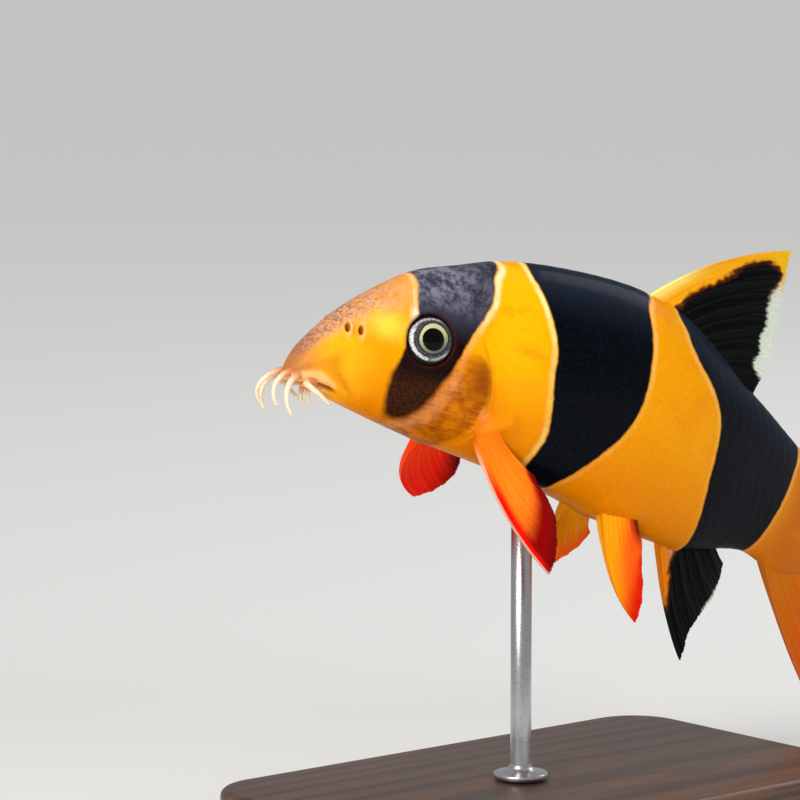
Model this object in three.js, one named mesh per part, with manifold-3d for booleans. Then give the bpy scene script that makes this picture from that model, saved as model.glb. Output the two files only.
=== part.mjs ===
// Clown loach, a still life-size model on a plain display stand.
//
// The fish is first shaped straight: x runs back from the snout, y to the fish's right and z up,
// in millimetres. Its pieces are joined and parted there. Then every point is laid along the bent
// spine, which gives the pose, and the stand is set under it.

import * as THREE from "three";
import { mergeVertices } from "three/addons/utils/BufferGeometryUtils.js";
import Module from "manifold-3d";

const wasm = await Module();
wasm.setup();

// Driving sizes, in millimetres. A "share" is a share of the body length.
const bodyLength = 115; // snout to the root of the tail fin
const gap = 0.3; // air between two pieces that touch in life
const share = (value) => value * bodyLength;

// Pose: the way the spine turns, in degrees, and the stretch of the body over which it does.
const pose = {
  headYaw: -8,
  yawBend: 19,
  yawFrom: 0.2,
  yawTo: 1.0,
  headPitch: 14,
  pitchBend: 16,
  pitchFrom: 0.3,
  pitchTo: 0.85,
};

// Smooth curve through a few points [along, value], with no overshoot between them.
function smoothLine(points) {
  const slopes = points.slice(1).map(([x, v], i) => (v - points[i][1]) / (x - points[i][0]));
  const tangents = points.map((_, i) => {
    if (i === 0) return slopes[0];
    if (i === slopes.length) return slopes[i - 1];
    if (slopes[i - 1] * slopes[i] <= 0) return 0;
    return (2 * slopes[i - 1] * slopes[i]) / (slopes[i - 1] + slopes[i]);
  });
  return (x) => {
    const last = points.length - 2;
    const after = points.findIndex(([px]) => px > x) - 1;
    const i = after < -1 ? last : Math.max(0, Math.min(after, last));
    const [x0, v0] = points[i];
    const [x1, v1] = points[i + 1];
    const span = x1 - x0;
    const t = Math.max(0, Math.min((x - x0) / span, 1));
    const rise = (1 - t) * (1 - t);
    return (
      (1 + 2 * t) * rise * v0 +
      t * rise * span * tangents[i] +
      t * t * (3 - 2 * t) * v1 +
      t * t * (t - 1) * span * tangents[i + 1]
    );
  };
}

const clamp01 = (t) => Math.max(0, Math.min(t, 1));
const ease = (t) => clamp01(t) ** 2 * (3 - 2 * clamp01(t));
const mix = (a, b, t) => a + (b - a) * t;
const bump = (distance, width) => Math.exp(-((distance / width) ** 2));
const signedPower = (value, power) => Math.sign(value) * Math.abs(value) ** power;

// Body outline, in shares of the body length.
const backLine = smoothLine([
  [0, -0.044], [0.008, -0.032], [0.028, -0.003], [0.064, 0.038], [0.116, 0.078], [0.17, 0.11],
  [0.229, 0.128], [0.289, 0.145], [0.37, 0.155], [0.5, 0.161], [0.6, 0.147], [0.7, 0.12],
  [0.8, 0.106], [0.9, 0.093], [0.97, 0.086], [1.09, 0.03],
]);
const bellyLine = smoothLine([
  [0, -0.062], [0.03, -0.066], [0.08, -0.079], [0.14, -0.092], [0.21, -0.105], [0.31, -0.119],
  [0.45, -0.138], [0.56, -0.15], [0.66, -0.147], [0.72, -0.14], [0.81, -0.108], [0.9, -0.08],
  [0.97, -0.078], [1.09, -0.03],
]);
const halfWidth = smoothLine([
  [0, 0.016], [0.02, 0.027], [0.05, 0.037], [0.1, 0.049], [0.17, 0.061], [0.25, 0.069],
  [0.33, 0.073], [0.43, 0.075], [0.52, 0.072], [0.62, 0.063], [0.72, 0.049], [0.82, 0.034],
  [0.92, 0.022], [1.0, 0.013], [1.05, 0.006], [1.09, 0.003],
]);
const widestLevel = smoothLine([[0, 0.45], [0.15, 0.42], [0.4, 0.44], [0.7, 0.5], [1.09, 0.5]]);
const backFullness = smoothLine([[0, 2.1], [0.2, 2.1], [0.45, 1.8], [0.8, 1.8], [1.09, 2.0]]);
const bellyFullness = smoothLine([[0, 2.2], [0.2, 2.3], [0.45, 2.5], [0.65, 2.2], [1.09, 2.0]]);
const noseRounding = 0.022;
const noseLevel = -0.053;
const bodyEnd = 1.09;

// Mouth: a horseshoe under the snout, seen in plan as the front half of an ellipse, with lips.
const mouth = { back: share(0.056), length: 4.9, halfWidth: 2.7, turn: 100, slit: 0.34, depth: 1.0 };
const lips = { radius: 0.72, offset: 0.72, sunk: 0.18, cornerShare: 0.18 };

// Head features, as places in the straight fish.
const eye = { x: share(0.169), z: share(0.0225), radius: 4.3, depth: 2.8, sunk: 1.35 };
const lens = { radius: 1.8, flatness: 0.35, sunk: 0.42 };
const eyeRim = { radius: 4.0, tube: 0.5, raised: 0.28 };
const gillCover = { front: 0.185, back: 0.262, top: 0.045, bottom: -0.1, height: 0.75 };
const gillCoverFade = { top: 0.05, bottom: 0.035 }; // how soon it runs out above and below
const brow = { height: 0.45, reach: 5.5 };

// Height of the gill cover and brow over the plain body at a point.
function relief(x, z) {
  const along = x / bodyLength;
  const level = z / bodyLength;
  const plate =
    ease((along - gillCover.front) / (gillCover.back - gillCover.front)) *
    ease((gillCover.top - level) / gillCoverFade.top) *
    ease((level - gillCover.bottom) / gillCoverFade.bottom);
  const ridge = bump(Math.hypot(x - eye.x, z - eye.z - 1), brow.reach);
  return gillCover.height * plate + brow.height * ridge;
}

// A point of the body's surface at x and at an angle from the top, with the surface grown outwards
// and, on the head, with its relief.
function bodyPoint(x, angle, grow = 0, onHead = false) {
  const at = x / bodyLength;
  const nose = Math.sqrt(1 - (1 - clamp01(at / noseRounding)) ** 2);
  const top = share(mix(noseLevel, backLine(at), nose));
  const bottom = share(mix(noseLevel, bellyLine(at), nose));
  const level = mix(bottom, top, widestLevel(at));
  const half = share(halfWidth(at)) * nose;
  const up = Math.cos(angle);
  const side = Math.sin(angle);
  const rounding = 2 / (up > 0 ? backFullness(at) : bellyFullness(at));
  const height = up > 0 ? top - level : level - bottom;
  const y = half * signedPower(side, rounding);
  const z = level + height * signedPower(up, rounding);
  const out = new THREE.Vector2(y / (half * half + 1e-9), (z - level) / (height * height + 1e-9));
  out.normalize();
  const raised = grow + (onHead ? relief(x, z) : 0);
  const forward = grow * (1 - ease(at / 0.08));
  return new THREE.Vector3(x - forward, y + out.x * raised, z + out.y * raised);
}

// Direction in which the body's surface faces.
function bodyNormal(x, angle) {
  const step = 0.02;
  const along = bodyPoint(x + share(step), angle).sub(bodyPoint(x - share(step), angle));
  const around = bodyPoint(x, angle + step).sub(bodyPoint(x, angle - step));
  return along.cross(around).normalize();
}

// The angle between two others at which a falling measure of the body's right side passes a value.
function angleWhere(measure, value, low, high) {
  const middle = (low + high) / 2;
  if (high - low < 1e-6) return middle;
  return measure(middle) > value
    ? angleWhere(measure, value, middle, high)
    : angleWhere(measure, value, low, middle);
}
const angleAtHeight = (x, z) => angleWhere((angle) => bodyPoint(x, angle).z, z, 0, Math.PI);
function undersideAt(x, y) {
  const angle = angleWhere((a) => bodyPoint(x, a).y, Math.abs(y), Math.PI / 2, Math.PI);
  return bodyPoint(x, angle).z;
}

// Solids

// A closed manifold solid from a list of points and triangles.
function solidFrom(points, triangles) {
  const vertProperties = new Float32Array(points.flatMap((p) => [p.x, p.y, p.z]));
  const solid = new wasm.Manifold(
    new wasm.Mesh({ numProp: 3, vertProperties, triVerts: new Uint32Array(triangles.flat()) }),
  );
  if (solid.volume() > 0) return solid;
  const turned = triangles.map(([a, b, c]) => [a, c, b]);
  return new wasm.Manifold(
    new wasm.Mesh({ numProp: 3, vertProperties, triVerts: new Uint32Array(turned.flat()) }),
  );
}

// A closed solid from a three.js geometry.
function solidOfGeometry(geometry) {
  geometry.deleteAttribute("normal");
  geometry.deleteAttribute("uv");
  const merged = mergeVertices(geometry, 1e-4);
  const position = merged.attributes.position;
  const points = [];
  for (let i = 0; i < position.count; i++) {
    points.push(new THREE.Vector3().fromBufferAttribute(position, i));
  }
  const triangles = [];
  for (let i = 0; i < merged.index.count; i += 3) {
    const corners = [0, 1, 2].map((k) => merged.index.getX(i + k));
    if (new Set(corners).size === 3) triangles.push(corners);
  }
  return solidFrom(points, triangles);
}

// The largest closed surface of a solid.
function largest(solid) {
  return solid.decompose().reduce((a, b) => (b.volume() > a.volume() ? b : a));
}

// A skin over a row of closed rings with as many points each, closed at both ends by a fan.
function loft(rings) {
  const points = rings.flat();
  const count = rings[0].length;
  const triangles = [];
  for (let i = 0; i + 1 < rings.length; i++) {
    for (let j = 0; j < count; j++) {
      const a = i * count + j;
      const b = i * count + ((j + 1) % count);
      triangles.push([a, b, b + count], [a, b + count, a + count]);
    }
  }
  for (const end of [0, rings.length - 1]) {
    const middle = rings[end].reduce((sum, p) => sum.add(p), new THREE.Vector3()).divideScalar(count);
    const hub = points.push(middle) - 1;
    for (let j = 0; j < count; j++) {
      const a = end * count + j;
      const b = end * count + ((j + 1) % count);
      triangles.push(end === 0 ? [hub, b, a] : [hub, a, b]);
    }
  }
  return solidFrom(points, triangles);
}

// The body between the given places, as one loft.
const sidesOfBody = 36;
function bodyLoft(places, grow, onHead) {
  const ring = (x) =>
    Array.from({ length: sidesOfBody }, (_, j) =>
      bodyPoint(x, (2 * Math.PI * j) / sidesOfBody, grow, onHead),
    );
  return loft(places.map(ring));
}

// Places along the body: packed close towards the snout in the head, then evenly.
const headRings = 34;
const headPlaces = Array.from({ length: headRings }, (_, i) => share(0.3) * ((i + 0.6) / headRings) ** 1.5);
const evenPlaces = (from, to, count) =>
  Array.from({ length: count + 1 }, (_, i) => share(mix(from, to, i / count)));

// All that lies behind a line drawn on the fish's side, given as x for each height, in shares, with
// the line moved back by a distance.
function behind(line, moved) {
  const steps = 16;
  const reach = 0.24;
  const heights = Array.from({ length: steps + 1 }, (_, i) => mix(-reach, reach, i / steps));
  const border = heights.map((z) => {
    const slope = (line(z + 0.002) - line(z - 0.002)) / 0.004;
    const length = Math.hypot(1, slope);
    return new THREE.Vector2(share(line(z)) + moved / length, share(z) - (moved * slope) / length);
  });
  const back = share(bodyEnd + 0.3);
  const shape = new THREE.Shape([
    ...border,
    new THREE.Vector2(back, border[steps].y),
    new THREE.Vector2(back, border[0].y),
  ]);
  const width = share(0.4);
  const block = new THREE.ExtrudeGeometry(shape, { depth: width, bevelEnabled: false });
  block.translate(0, 0, -width / 2).rotateX(Math.PI / 2);
  return solidOfGeometry(block);
}

// The lines on the side that part the head, torso, tail stalk and tail fin.
const gillLine = smoothLine([
  [-0.24, 0.215], [-0.13, 0.228], [-0.105, 0.245], [-0.07, 0.264], [-0.035, 0.27], [0, 0.262],
  [0.04, 0.244], [0.08, 0.236], [0.24, 0.236],
]);
const stalkLine = (z) => 0.706 - 0.35 * (z + 0.02) ** 2;
const finLine = (z) => 1.0 - 0.07 * Math.min(1.4, Math.abs(z) / 0.085) ** 3;

// A bar of a given cross-section along the mouth line, moved out from it by an offset. The section
// gives a list of [outwards, upwards] for how far round the mouth the ring is, from -1 to 1.
function barAlongMouth(offset, section) {
  const steps = 16;
  const rings = [];
  for (let i = 0; i <= steps; i++) {
    const round = mix(-1, 1, i / steps);
    const angle = THREE.MathUtils.degToRad(mouth.turn) * round;
    const x = mouth.back - (mouth.length + offset) * Math.cos(angle);
    const y = (mouth.halfWidth + offset) * Math.sin(angle);
    const out = new THREE.Vector2(-Math.cos(angle) / mouth.length, Math.sin(angle) / mouth.halfWidth);
    out.normalize();
    const surface = undersideAt(x, y);
    const corner = ([sideways, up]) =>
      new THREE.Vector3(x + out.x * sideways, y + out.y * sideways, surface + up);
    rings.push(section(round).map(corner));
  }
  return loft(rings);
}

// A lip: a soft roll that thins towards the corners of the mouth.
function lip(offset, grow) {
  const sides = 6;
  return barAlongMouth(offset, (round) => {
    const radius = lips.radius * Math.sqrt(1 - (1 - lips.cornerShare) * round * round) + grow;
    return Array.from({ length: sides }, (_, j) => {
      const angle = (2 * Math.PI * j) / sides;
      return [radius * Math.cos(angle), lips.sunk + radius * Math.sin(angle)];
    });
  });
}
const bothLips = (grow = 0) => lip(lips.offset, grow).add(lip(-lips.offset, grow));

// A thin slit between the lips, cut up into the snout.
function mouthSlit() {
  const half = mouth.slit / 2;
  return barAlongMouth(0, () => [[half, -3], [half, mouth.depth], [-half, mouth.depth], [-half, -3]]);
}

// A frame on the body's surface: z out of it, x back along the fish.
function frameOnBody(x, z, side) {
  const angle = side * angleAtHeight(x, z);
  const out = bodyNormal(x, angle);
  const point = bodyPoint(x, angle);
  const across = new THREE.Vector3(1, 0, 0).addScaledVector(out, -out.x).normalize();
  const up = out.clone().cross(across);
  return new THREE.Matrix4().makeBasis(across, up, out).setPosition(point);
}

// Eyeball: a shallow dome turned about its axis, with the lens standing a little proud in the pupil.
function eyeball(side, grow = 0) {
  const profile = [];
  const steps = 10;
  const radius = eye.radius + grow;
  const depth = eye.depth + grow;
  for (let i = 0; i <= steps; i++) {
    const angle = (Math.PI * i) / steps;
    profile.push(new THREE.Vector2(radius * Math.sin(angle), -depth * Math.cos(angle)));
  }
  profile[0].x = 0;
  profile[steps].x = 0;
  const ball = new THREE.LatheGeometry(profile, 22).rotateX(Math.PI / 2);
  ball.translate(0, 0, -eye.sunk);
  let solid = solidOfGeometry(ball.applyMatrix4(frameOnBody(eye.x, eye.z, side)));
  if (grow === 0) {
    const cap = new THREE.SphereGeometry(lens.radius, 16, 8).scale(1, 1, lens.flatness);
    cap.translate(0, 0, eye.depth - eye.sunk - lens.sunk);
    solid = solid.add(solidOfGeometry(cap.applyMatrix4(frameOnBody(eye.x, eye.z, side))));
  }
  return solid;
}

// The fold of skin round the eye.
function rimOfEye(side) {
  const ring = new THREE.TorusGeometry(eyeRim.radius, eyeRim.tube, 6, 26);
  ring.translate(0, 0, eyeRim.raised).applyMatrix4(frameOnBody(eye.x, eye.z, side));
  return solidOfGeometry(ring);
}

// The two nostrils of a side, the front one inside a low collar.
const nostrils = { front: share(0.062), back: share(0.078), z: share(0.0165), radius: 0.55, depth: 1.6 };
const collar = { radius: 0.75, tube: 0.3, raised: 0.1 };
function nostrilPits(side) {
  return [nostrils.front, nostrils.back].map((x) => {
    const pit = new THREE.SphereGeometry(nostrils.radius, 8, 6).scale(1, 1, nostrils.depth);
    return solidOfGeometry(pit.applyMatrix4(frameOnBody(x, nostrils.z, side)));
  });
}
function nostrilCollar(side) {
  const ring = new THREE.TorusGeometry(collar.radius, collar.tube, 5, 12);
  ring.translate(0, 0, collar.raised).applyMatrix4(frameOnBody(nostrils.front, nostrils.z, side));
  return solidOfGeometry(ring);
}

// A feeler: a thin tapering tube along a curve that starts inside the head.
function feeler(points, radius, side) {
  const curve = new THREE.CatmullRomCurve3(points.map(([x, y, z]) => new THREE.Vector3(x, side * y, z)));
  const steps = 9;
  const sides = 6;
  const frames = curve.computeFrenetFrames(steps);
  const rings = [];
  for (let i = 0; i <= steps; i++) {
    const t = i / steps;
    const thick = radius * mix(1, 0.5, t) * (i === steps ? 0.5 : 1);
    const centre = curve.getPointAt(t);
    rings.push(
      Array.from({ length: sides }, (_, j) => {
        const angle = (2 * Math.PI * j) / sides;
        return centre
          .clone()
          .addScaledVector(frames.normals[i], thick * Math.cos(angle))
          .addScaledVector(frames.binormals[i], thick * Math.sin(angle));
      }),
    );
  }
  return loft(rings);
}

const feelers = {
  barbel_rostral_inner: {
    radius: 0.52,
    points: [
      [1.8, 0.7, -5.9], [-0.5, 1.3, -6.7], [-2.0, 2.0, -8.3], [-2.2, 2.4, -10.0], [-1.4, 2.5, -11.4],
    ],
  },
  barbel_rostral_outer: {
    radius: 0.55,
    points: [
      [2.8, 1.6, -6.0], [0.4, 2.7, -7.0], [-0.7, 3.4, -8.8], [-0.5, 3.8, -10.8], [0.6, 3.9, -12.4],
    ],
  },
  barbel_maxillary: {
    radius: 0.58,
    points: [
      [3.9, 2.6, -6.8], [2.2, 3.5, -7.3], [2.8, 4.2, -7.9], [4.4, 4.5, -8.7], [6.3, 4.4, -9.8],
    ],
  },
  barbel_mandibular: {
    radius: 0.42,
    points: [
      [4.4, 0.8, -7.0], [4.3, 0.95, -8.9], [4.7, 1.1, -9.9], [5.4, 1.15, -10.7],
    ],
  },
};

// A fin with its rays as ridges raised in both faces of one membrane. root and tip give the two
// ends of the line at u, from the leading edge (0) to the last ray (1), bow how far the line leans
// out between them. Both faces are split into triangles alike.
function rayedFin({ rays, rows, root, tip, bow, thick }) {
  const columns = 2 * rays;
  const middle = (u, v) =>
    root(u).lerp(tip(u), v).addScaledVector(bow(u), 4 * v * (1 - v));
  const faces = [[], []];
  for (let k = 0; k <= columns; k++) {
    const u = k / columns;
    const onRay = k % 2 === 0;
    const edge = k === 0 ? thick.leading : 1;
    for (let i = 0; i <= rows; i++) {
      const v = (i / rows) * (onRay ? 1 : thick.webReach);
      const centre = middle(u, v);
      const across = middle(Math.min(1, u + 0.01), v).sub(middle(Math.max(0, u - 0.01), v));
      const along = middle(u, Math.min(1, v + 0.02)).sub(middle(u, Math.max(0, v - 0.02)));
      const out = across.cross(along).normalize();
      const web = mix(thick.web, thick.tip, v);
      const ridge = onRay ? (mix(thick.ray, thick.tip, v) * edge - web) * ease(v / 0.3) : 0;
      const flesh = thick.root * (1 - ease(v / 0.25));
      const half = (web + ridge + flesh) / 2;
      faces[0].push(centre.clone().addScaledVector(out, half));
      faces[1].push(centre.clone().addScaledVector(out, -half));
    }
  }
  const points = faces.flat();
  const other = faces[0].length;
  const across = rows + 1;
  const triangles = [];
  for (let k = 0; k < columns; k++) {
    for (let i = 0; i < rows; i++) {
      const a = k * across + i;
      const b = a + across;
      triangles.push([a, b, b + 1], [a, b + 1, a + 1]);
      triangles.push([other + a, other + b + 1, other + b], [other + a, other + a + 1, other + b + 1]);
    }
  }
  const rim = (a, b) => triangles.push([a, other + a, other + b], [a, other + b, b]);
  for (let i = 0; i < rows; i++) {
    rim(i + 1, i);
    rim(columns * across + i, columns * across + i + 1);
  }
  for (let k = 0; k < columns; k++) {
    rim(k * across, (k + 1) * across);
    rim((k + 1) * across + rows, k * across + rows);
  }
  return solidFrom(points, triangles);
}

// A curve through points given in shares, as a function of u from 0 to 1.
function curveThrough(points) {
  const curve = new THREE.CatmullRomCurve3(points.map(([x, y, z]) => new THREE.Vector3(x, y, z)));
  return (u) => curve.getPoint(clamp01(u)).multiplyScalar(bodyLength);
}
const leaning = (front, rear = front) => (u) =>
  new THREE.Vector3(...front).lerp(new THREE.Vector3(...rear), u).multiplyScalar(bodyLength);

const finThickness = { ray: 0.95, web: 0.58, tip: 0.5, root: 0.9, leading: 1.35, webReach: 0.985 };

const fins = {
  dorsal_fin: {
    rays: 12,
    rows: 8,
    root: curveThrough([[0.519, 0, 0.142], [0.615, 0, 0.12], [0.715, 0, 0.1]]),
    tip: curveThrough([
      [0.746, 0.012, 0.317], [0.765, 0.006, 0.245], [0.775, 0, 0.17], [0.768, 0, 0.104],
    ]),
    bow: leaning([-0.008, 0, 0.01], [0, 0, 0.006]),
    thick: finThickness,
  },
  anal_fin: {
    rays: 8,
    rows: 7,
    root: curveThrough([[0.682, 0, -0.122], [0.742, 0, -0.112], [0.8, 0, -0.092]]),
    tip: curveThrough([
      [0.864, 0.006, -0.262], [0.853, 0.005, -0.214], [0.87, 0.002, -0.157], [0.862, 0, -0.112],
    ]),
    bow: leaning([-0.008, 0, -0.01], [0, 0, -0.002]),
    thick: finThickness,
  },
  pectoral_fin_left: {
    rays: 11,
    rows: 7,
    root: curveThrough([[0.266, -0.048, -0.077], [0.28, -0.052, -0.072], [0.293, -0.054, -0.067]]),
    tip: curveThrough([
      [0.414, -0.088, -0.243], [0.418, -0.084, -0.217], [0.407, -0.078, -0.165], [0.364, -0.07, -0.118],
    ]),
    bow: leaning([-0.017, -0.011, -0.015], [0, -0.012, -0.012]),
    thick: { ...finThickness, root: 1.9, leading: 1.6 },
  },
  pectoral_fin_right: {
    rays: 11,
    rows: 7,
    root: curveThrough([[0.266, 0.048, -0.077], [0.28, 0.052, -0.072], [0.293, 0.054, -0.067]]),
    tip: curveThrough([
      [0.367, 0.188, -0.182], [0.392, 0.173, -0.163], [0.4, 0.146, -0.137], [0.38, 0.118, -0.11],
    ]),
    bow: leaning([-0.024, 0.016, -0.018], [0, 0.01, 0]),
    thick: { ...finThickness, root: 1.9, leading: 1.6 },
  },
  pelvic_fin_left: {
    rays: 8,
    rows: 6,
    root: curveThrough([[0.526, -0.026, -0.135], [0.56, -0.03, -0.136], [0.594, -0.03, -0.132]]),
    tip: curveThrough([
      [0.67, -0.04, -0.262], [0.655, -0.046, -0.236], [0.635, -0.05, -0.205], [0.615, -0.05, -0.176],
    ]),
    bow: leaning([-0.016, -0.006, -0.022], [0, -0.008, 0]),
    thick: { ...finThickness, root: 1.1, leading: 1.5 },
  },
  pelvic_fin_right: {
    rays: 8,
    rows: 6,
    root: curveThrough([[0.508, 0.024, -0.136], [0.542, 0.029, -0.137], [0.575, 0.03, -0.134]]),
    tip: curveThrough([
      [0.61, 0.1, -0.218], [0.624, 0.094, -0.2], [0.636, 0.082, -0.18], [0.634, 0.068, -0.162],
    ]),
    bow: leaning([-0.012, 0.004, -0.012], [0, 0.008, 0]),
    thick: { ...finThickness, root: 1.1, leading: 1.5 },
  },
};

// The tail fin: deeply forked, its two lobes alike, its outer rays rooted further forward.
const tailFin = { lobe: [1.285, 0.212], fork: 1.12, sway: 0.02, top: 0.086, bottom: -0.076, cleft: 0.0013 };
function tailFinShape() {
  const outward = (u) => Math.abs(2 * u - 1);
  const root = (u) => {
    const z = mix(tailFin.top, tailFin.bottom, u);
    return new THREE.Vector3(finLine(z) - 0.015, 0, z).multiplyScalar(bodyLength);
  };
  const tip = (u) => {
    const w = outward(u);
    const x = mix(tailFin.fork, tailFin.lobe[0], w ** 1.45);
    const z = Math.sign(0.5 - u) * tailFin.lobe[1] * w ** 1.05;
    return new THREE.Vector3(x, tailFin.sway * w * w, z).multiplyScalar(bodyLength);
  };
  const bow = (u) => new THREE.Vector3(0, 0, share(0.01) * Math.sign(0.5 - u) * outward(u) ** 2);
  return rayedFin({ rays: 15, rows: 8, root, tip, bow, thick: { ...finThickness, root: 0.7 } });
}

// Pose

// The bent spine: points and turns along the body, added up in small steps.
const spine = (() => {
  const steps = 280;
  const reach = share(1.4);
  const turn = new THREE.Quaternion();
  const rotate = (axis, degrees) =>
    turn.multiply(new THREE.Quaternion().setFromAxisAngle(axis, THREE.MathUtils.degToRad(degrees)));
  const up = new THREE.Vector3(0, 0, 1);
  const side = new THREE.Vector3(0, 1, 0);
  const yawAt = (t) => pose.yawBend * ease((t - pose.yawFrom) / (pose.yawTo - pose.yawFrom));
  const pitchAt = (t) => pose.pitchBend * ease((t - pose.pitchFrom) / (pose.pitchTo - pose.pitchFrom));
  rotate(up, pose.headYaw);
  rotate(side, pose.headPitch);
  const places = [{ centre: new THREE.Vector3(), turn: turn.clone() }];
  for (let i = 0; i < steps; i++) {
    const from = (i / steps) * (reach / bodyLength);
    const to = ((i + 1) / steps) * (reach / bodyLength);
    rotate(up, (yawAt(to) - yawAt(from)) / 2);
    rotate(side, (pitchAt(to) - pitchAt(from)) / 2);
    const step = new THREE.Vector3(reach / steps, 0, 0).applyQuaternion(turn);
    rotate(up, (yawAt(to) - yawAt(from)) / 2);
    rotate(side, (pitchAt(to) - pitchAt(from)) / 2);
    places.push({ centre: places[i].centre.clone().add(step), turn: turn.clone() });
  }
  return { places, spacing: reach / steps };
})();

// Lays a point of the straight fish along the bent spine.
function bend(point) {
  const along = Math.max(0, Math.min(point.x / spine.spacing, spine.places.length - 1.001));
  const i = Math.floor(along);
  const here = spine.places[i];
  const next = spine.places[i + 1];
  const turn = here.turn.clone().slerp(next.turn, along - i);
  const centre = here.centre.clone().lerp(next.centre, along - i);
  const ahead = point.x < 0 ? point.x : 0;
  return new THREE.Vector3(ahead, point.y, point.z).applyQuaternion(turn).add(centre);
}

function pointsOf(solid) {
  const mesh = solid.getMesh();
  const points = [];
  for (let i = 0; i < mesh.numVert; i++) {
    points.push(new THREE.Vector3().fromArray(mesh.vertProperties, i * mesh.numProp));
  }
  return { points, index: mesh.triVerts };
}

// Pieces of the straight fish

const headWhole = bodyLoft(headPlaces, 0, true);
const headGrown = bodyLoft(headPlaces, gap, true).add(bothLips(gap));
const trunkPlaces = evenPlaces(0.2, bodyEnd, 32);
const trunkWhole = bodyLoft(trunkPlaces, 0, false);
const trunkGrown = bodyLoft(trunkPlaces, gap, false);

function makeHead() {
  let head = headWhole.subtract(behind(gillLine, 0)).add(bothLips());
  for (const side of [-1, 1]) {
    head = head.add(rimOfEye(side)).add(nostrilCollar(side)).subtract(eyeball(side, gap));
    for (const pit of nostrilPits(side)) head = head.subtract(pit);
  }
  return largest(head.subtract(mouthSlit()));
}

// One lobe of the tail fin with its share of the fleshy root: up is 1 for the upper, -1 for the lower.
function makeTailLobe(up) {
  const fleshyRoot = trunkWhole.intersect(behind(finLine, gap));
  const stalkClearance = trunkGrown.subtract(behind(finLine, gap));
  const reach = share(0.5);
  const otherHalf = new THREE.BoxGeometry(reach, reach, reach);
  otherHalf.translate(bodyLength, 0, share(tailFin.cleft) - up * (reach / 2 - gap / 2));
  return largest(
    tailFinShape().add(fleshyRoot).subtract(stalkClearance).subtract(solidOfGeometry(otherHalf)),
  );
}

const flesh = new Map([
  ["head", makeHead()],
  ["torso", largest(trunkWhole.intersect(behind(gillLine, gap)).subtract(behind(stalkLine, 0)))],
  ["tail_stalk", largest(trunkWhole.intersect(behind(stalkLine, gap)).subtract(behind(finLine, 0)))],
  ["tail_fin_upper", makeTailLobe(1)],
  ["tail_fin_lower", makeTailLobe(-1)],
]);
for (const [name, fin] of Object.entries(fins)) {
  flesh.set(name, largest(rayedFin(fin).subtract(trunkGrown).subtract(headGrown)));
}
for (const [side, word] of [[-1, "left"], [1, "right"]]) {
  flesh.set("eye_" + word, eyeball(side));
  for (const [name, { points, radius }] of Object.entries(feelers)) {
    flesh.set(name + "_" + word, largest(feeler(points, radius, side).subtract(headGrown)));
  }
}

// Colours

const skin = (color) => new THREE.MeshStandardMaterial({ color, roughness: 0.35, metalness: 0 });
const materials = {
  head: skin(0xe08a18),
  torso: skin(0xf0a010),
  tail_stalk: skin(0x141a26),
  dorsal_fin: skin(0x171a22),
  anal_fin: skin(0x1b1a1e),
  tail_fin_upper: skin(0xf06a18),
  tail_fin_lower: skin(0xf06a18),
  pectoral: skin(0xe8401a),
  pelvic: skin(0xf0701c),
  barbel: skin(0xe9c9a0),
  eye: new THREE.MeshStandardMaterial({ color: 0xd8d4c4, roughness: 0.1, metalness: 0.1 }),
  stand_base: new THREE.MeshStandardMaterial({ color: 0x4a3226, roughness: 0.45, metalness: 0 }),
  stand_rod: new THREE.MeshStandardMaterial({ color: 0xb9bcc0, roughness: 0.3, metalness: 1 }),
};
const materialOf = (name) => materials[name] ?? materials[name.split("_")[0]];

// The whole

function meshOf(name, solid, place) {
  const { points, index } = pointsOf(solid);
  const placed = points.map(place);
  const geometry = new THREE.BufferGeometry().setFromPoints(placed);
  geometry.setIndex(new THREE.BufferAttribute(new Uint32Array(index), 1));
  const mesh = new THREE.Mesh(geometry, materialOf(name));
  mesh.name = name;
  return mesh;
}

const fish = new THREE.Group();
for (const [name, solid] of flesh) fish.add(meshOf(name, solid, bend));

// The stand: a flat base on the floor and one upright rod to the belly.
const stand = {
  under: 0.4, // share of the body length at which the rod meets the belly
  rodRadius: 1.6,
  footRadius: 4.2,
  footHeight: 1.4,
  baseLength: 92,
  baseWidth: 56,
  baseHeight: 8,
  cornerRadius: 9,
  softenedEdge: 1.2,
  forward: 5, // how far the base's middle lies behind the rod, towards the tail
  tailClearance: 3, // how far the tail stays above the floor
  intoBelly: 4, // how far the rod reaches past the belly's line before it is cut to its curve
};

const lowest = new THREE.Box3().setFromObject(fish).min.z;
const belly = bend(new THREE.Vector3(share(stand.under), 0, share(bellyLine(stand.under))));
const floorLevel = lowest - stand.tailClearance;
fish.position.set(-belly.x - stand.forward, -belly.y, -floorLevel);

function standBase() {
  const round = stand.cornerRadius;
  const x = stand.baseLength / 2 - stand.softenedEdge;
  const y = stand.baseWidth / 2 - stand.softenedEdge;
  const outline = new THREE.Shape();
  outline.moveTo(-x + round, -y);
  outline.lineTo(x - round, -y);
  outline.absarc(x - round, -y + round, round, -Math.PI / 2, 0);
  outline.lineTo(x, y - round);
  outline.absarc(x - round, y - round, round, 0, Math.PI / 2);
  outline.lineTo(-x + round, y);
  outline.absarc(-x + round, y - round, round, Math.PI / 2, Math.PI);
  outline.lineTo(-x, -y + round);
  outline.absarc(-x + round, -y + round, round, Math.PI, 1.5 * Math.PI);
  const block = new THREE.ExtrudeGeometry(outline, {
    depth: stand.baseHeight - 2 * stand.softenedEdge,
    bevelThickness: stand.softenedEdge,
    bevelSize: stand.softenedEdge,
    bevelSegments: 2,
    curveSegments: 5,
  });
  return solidOfGeometry(block.translate(0, 0, stand.softenedEdge));
}

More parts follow.
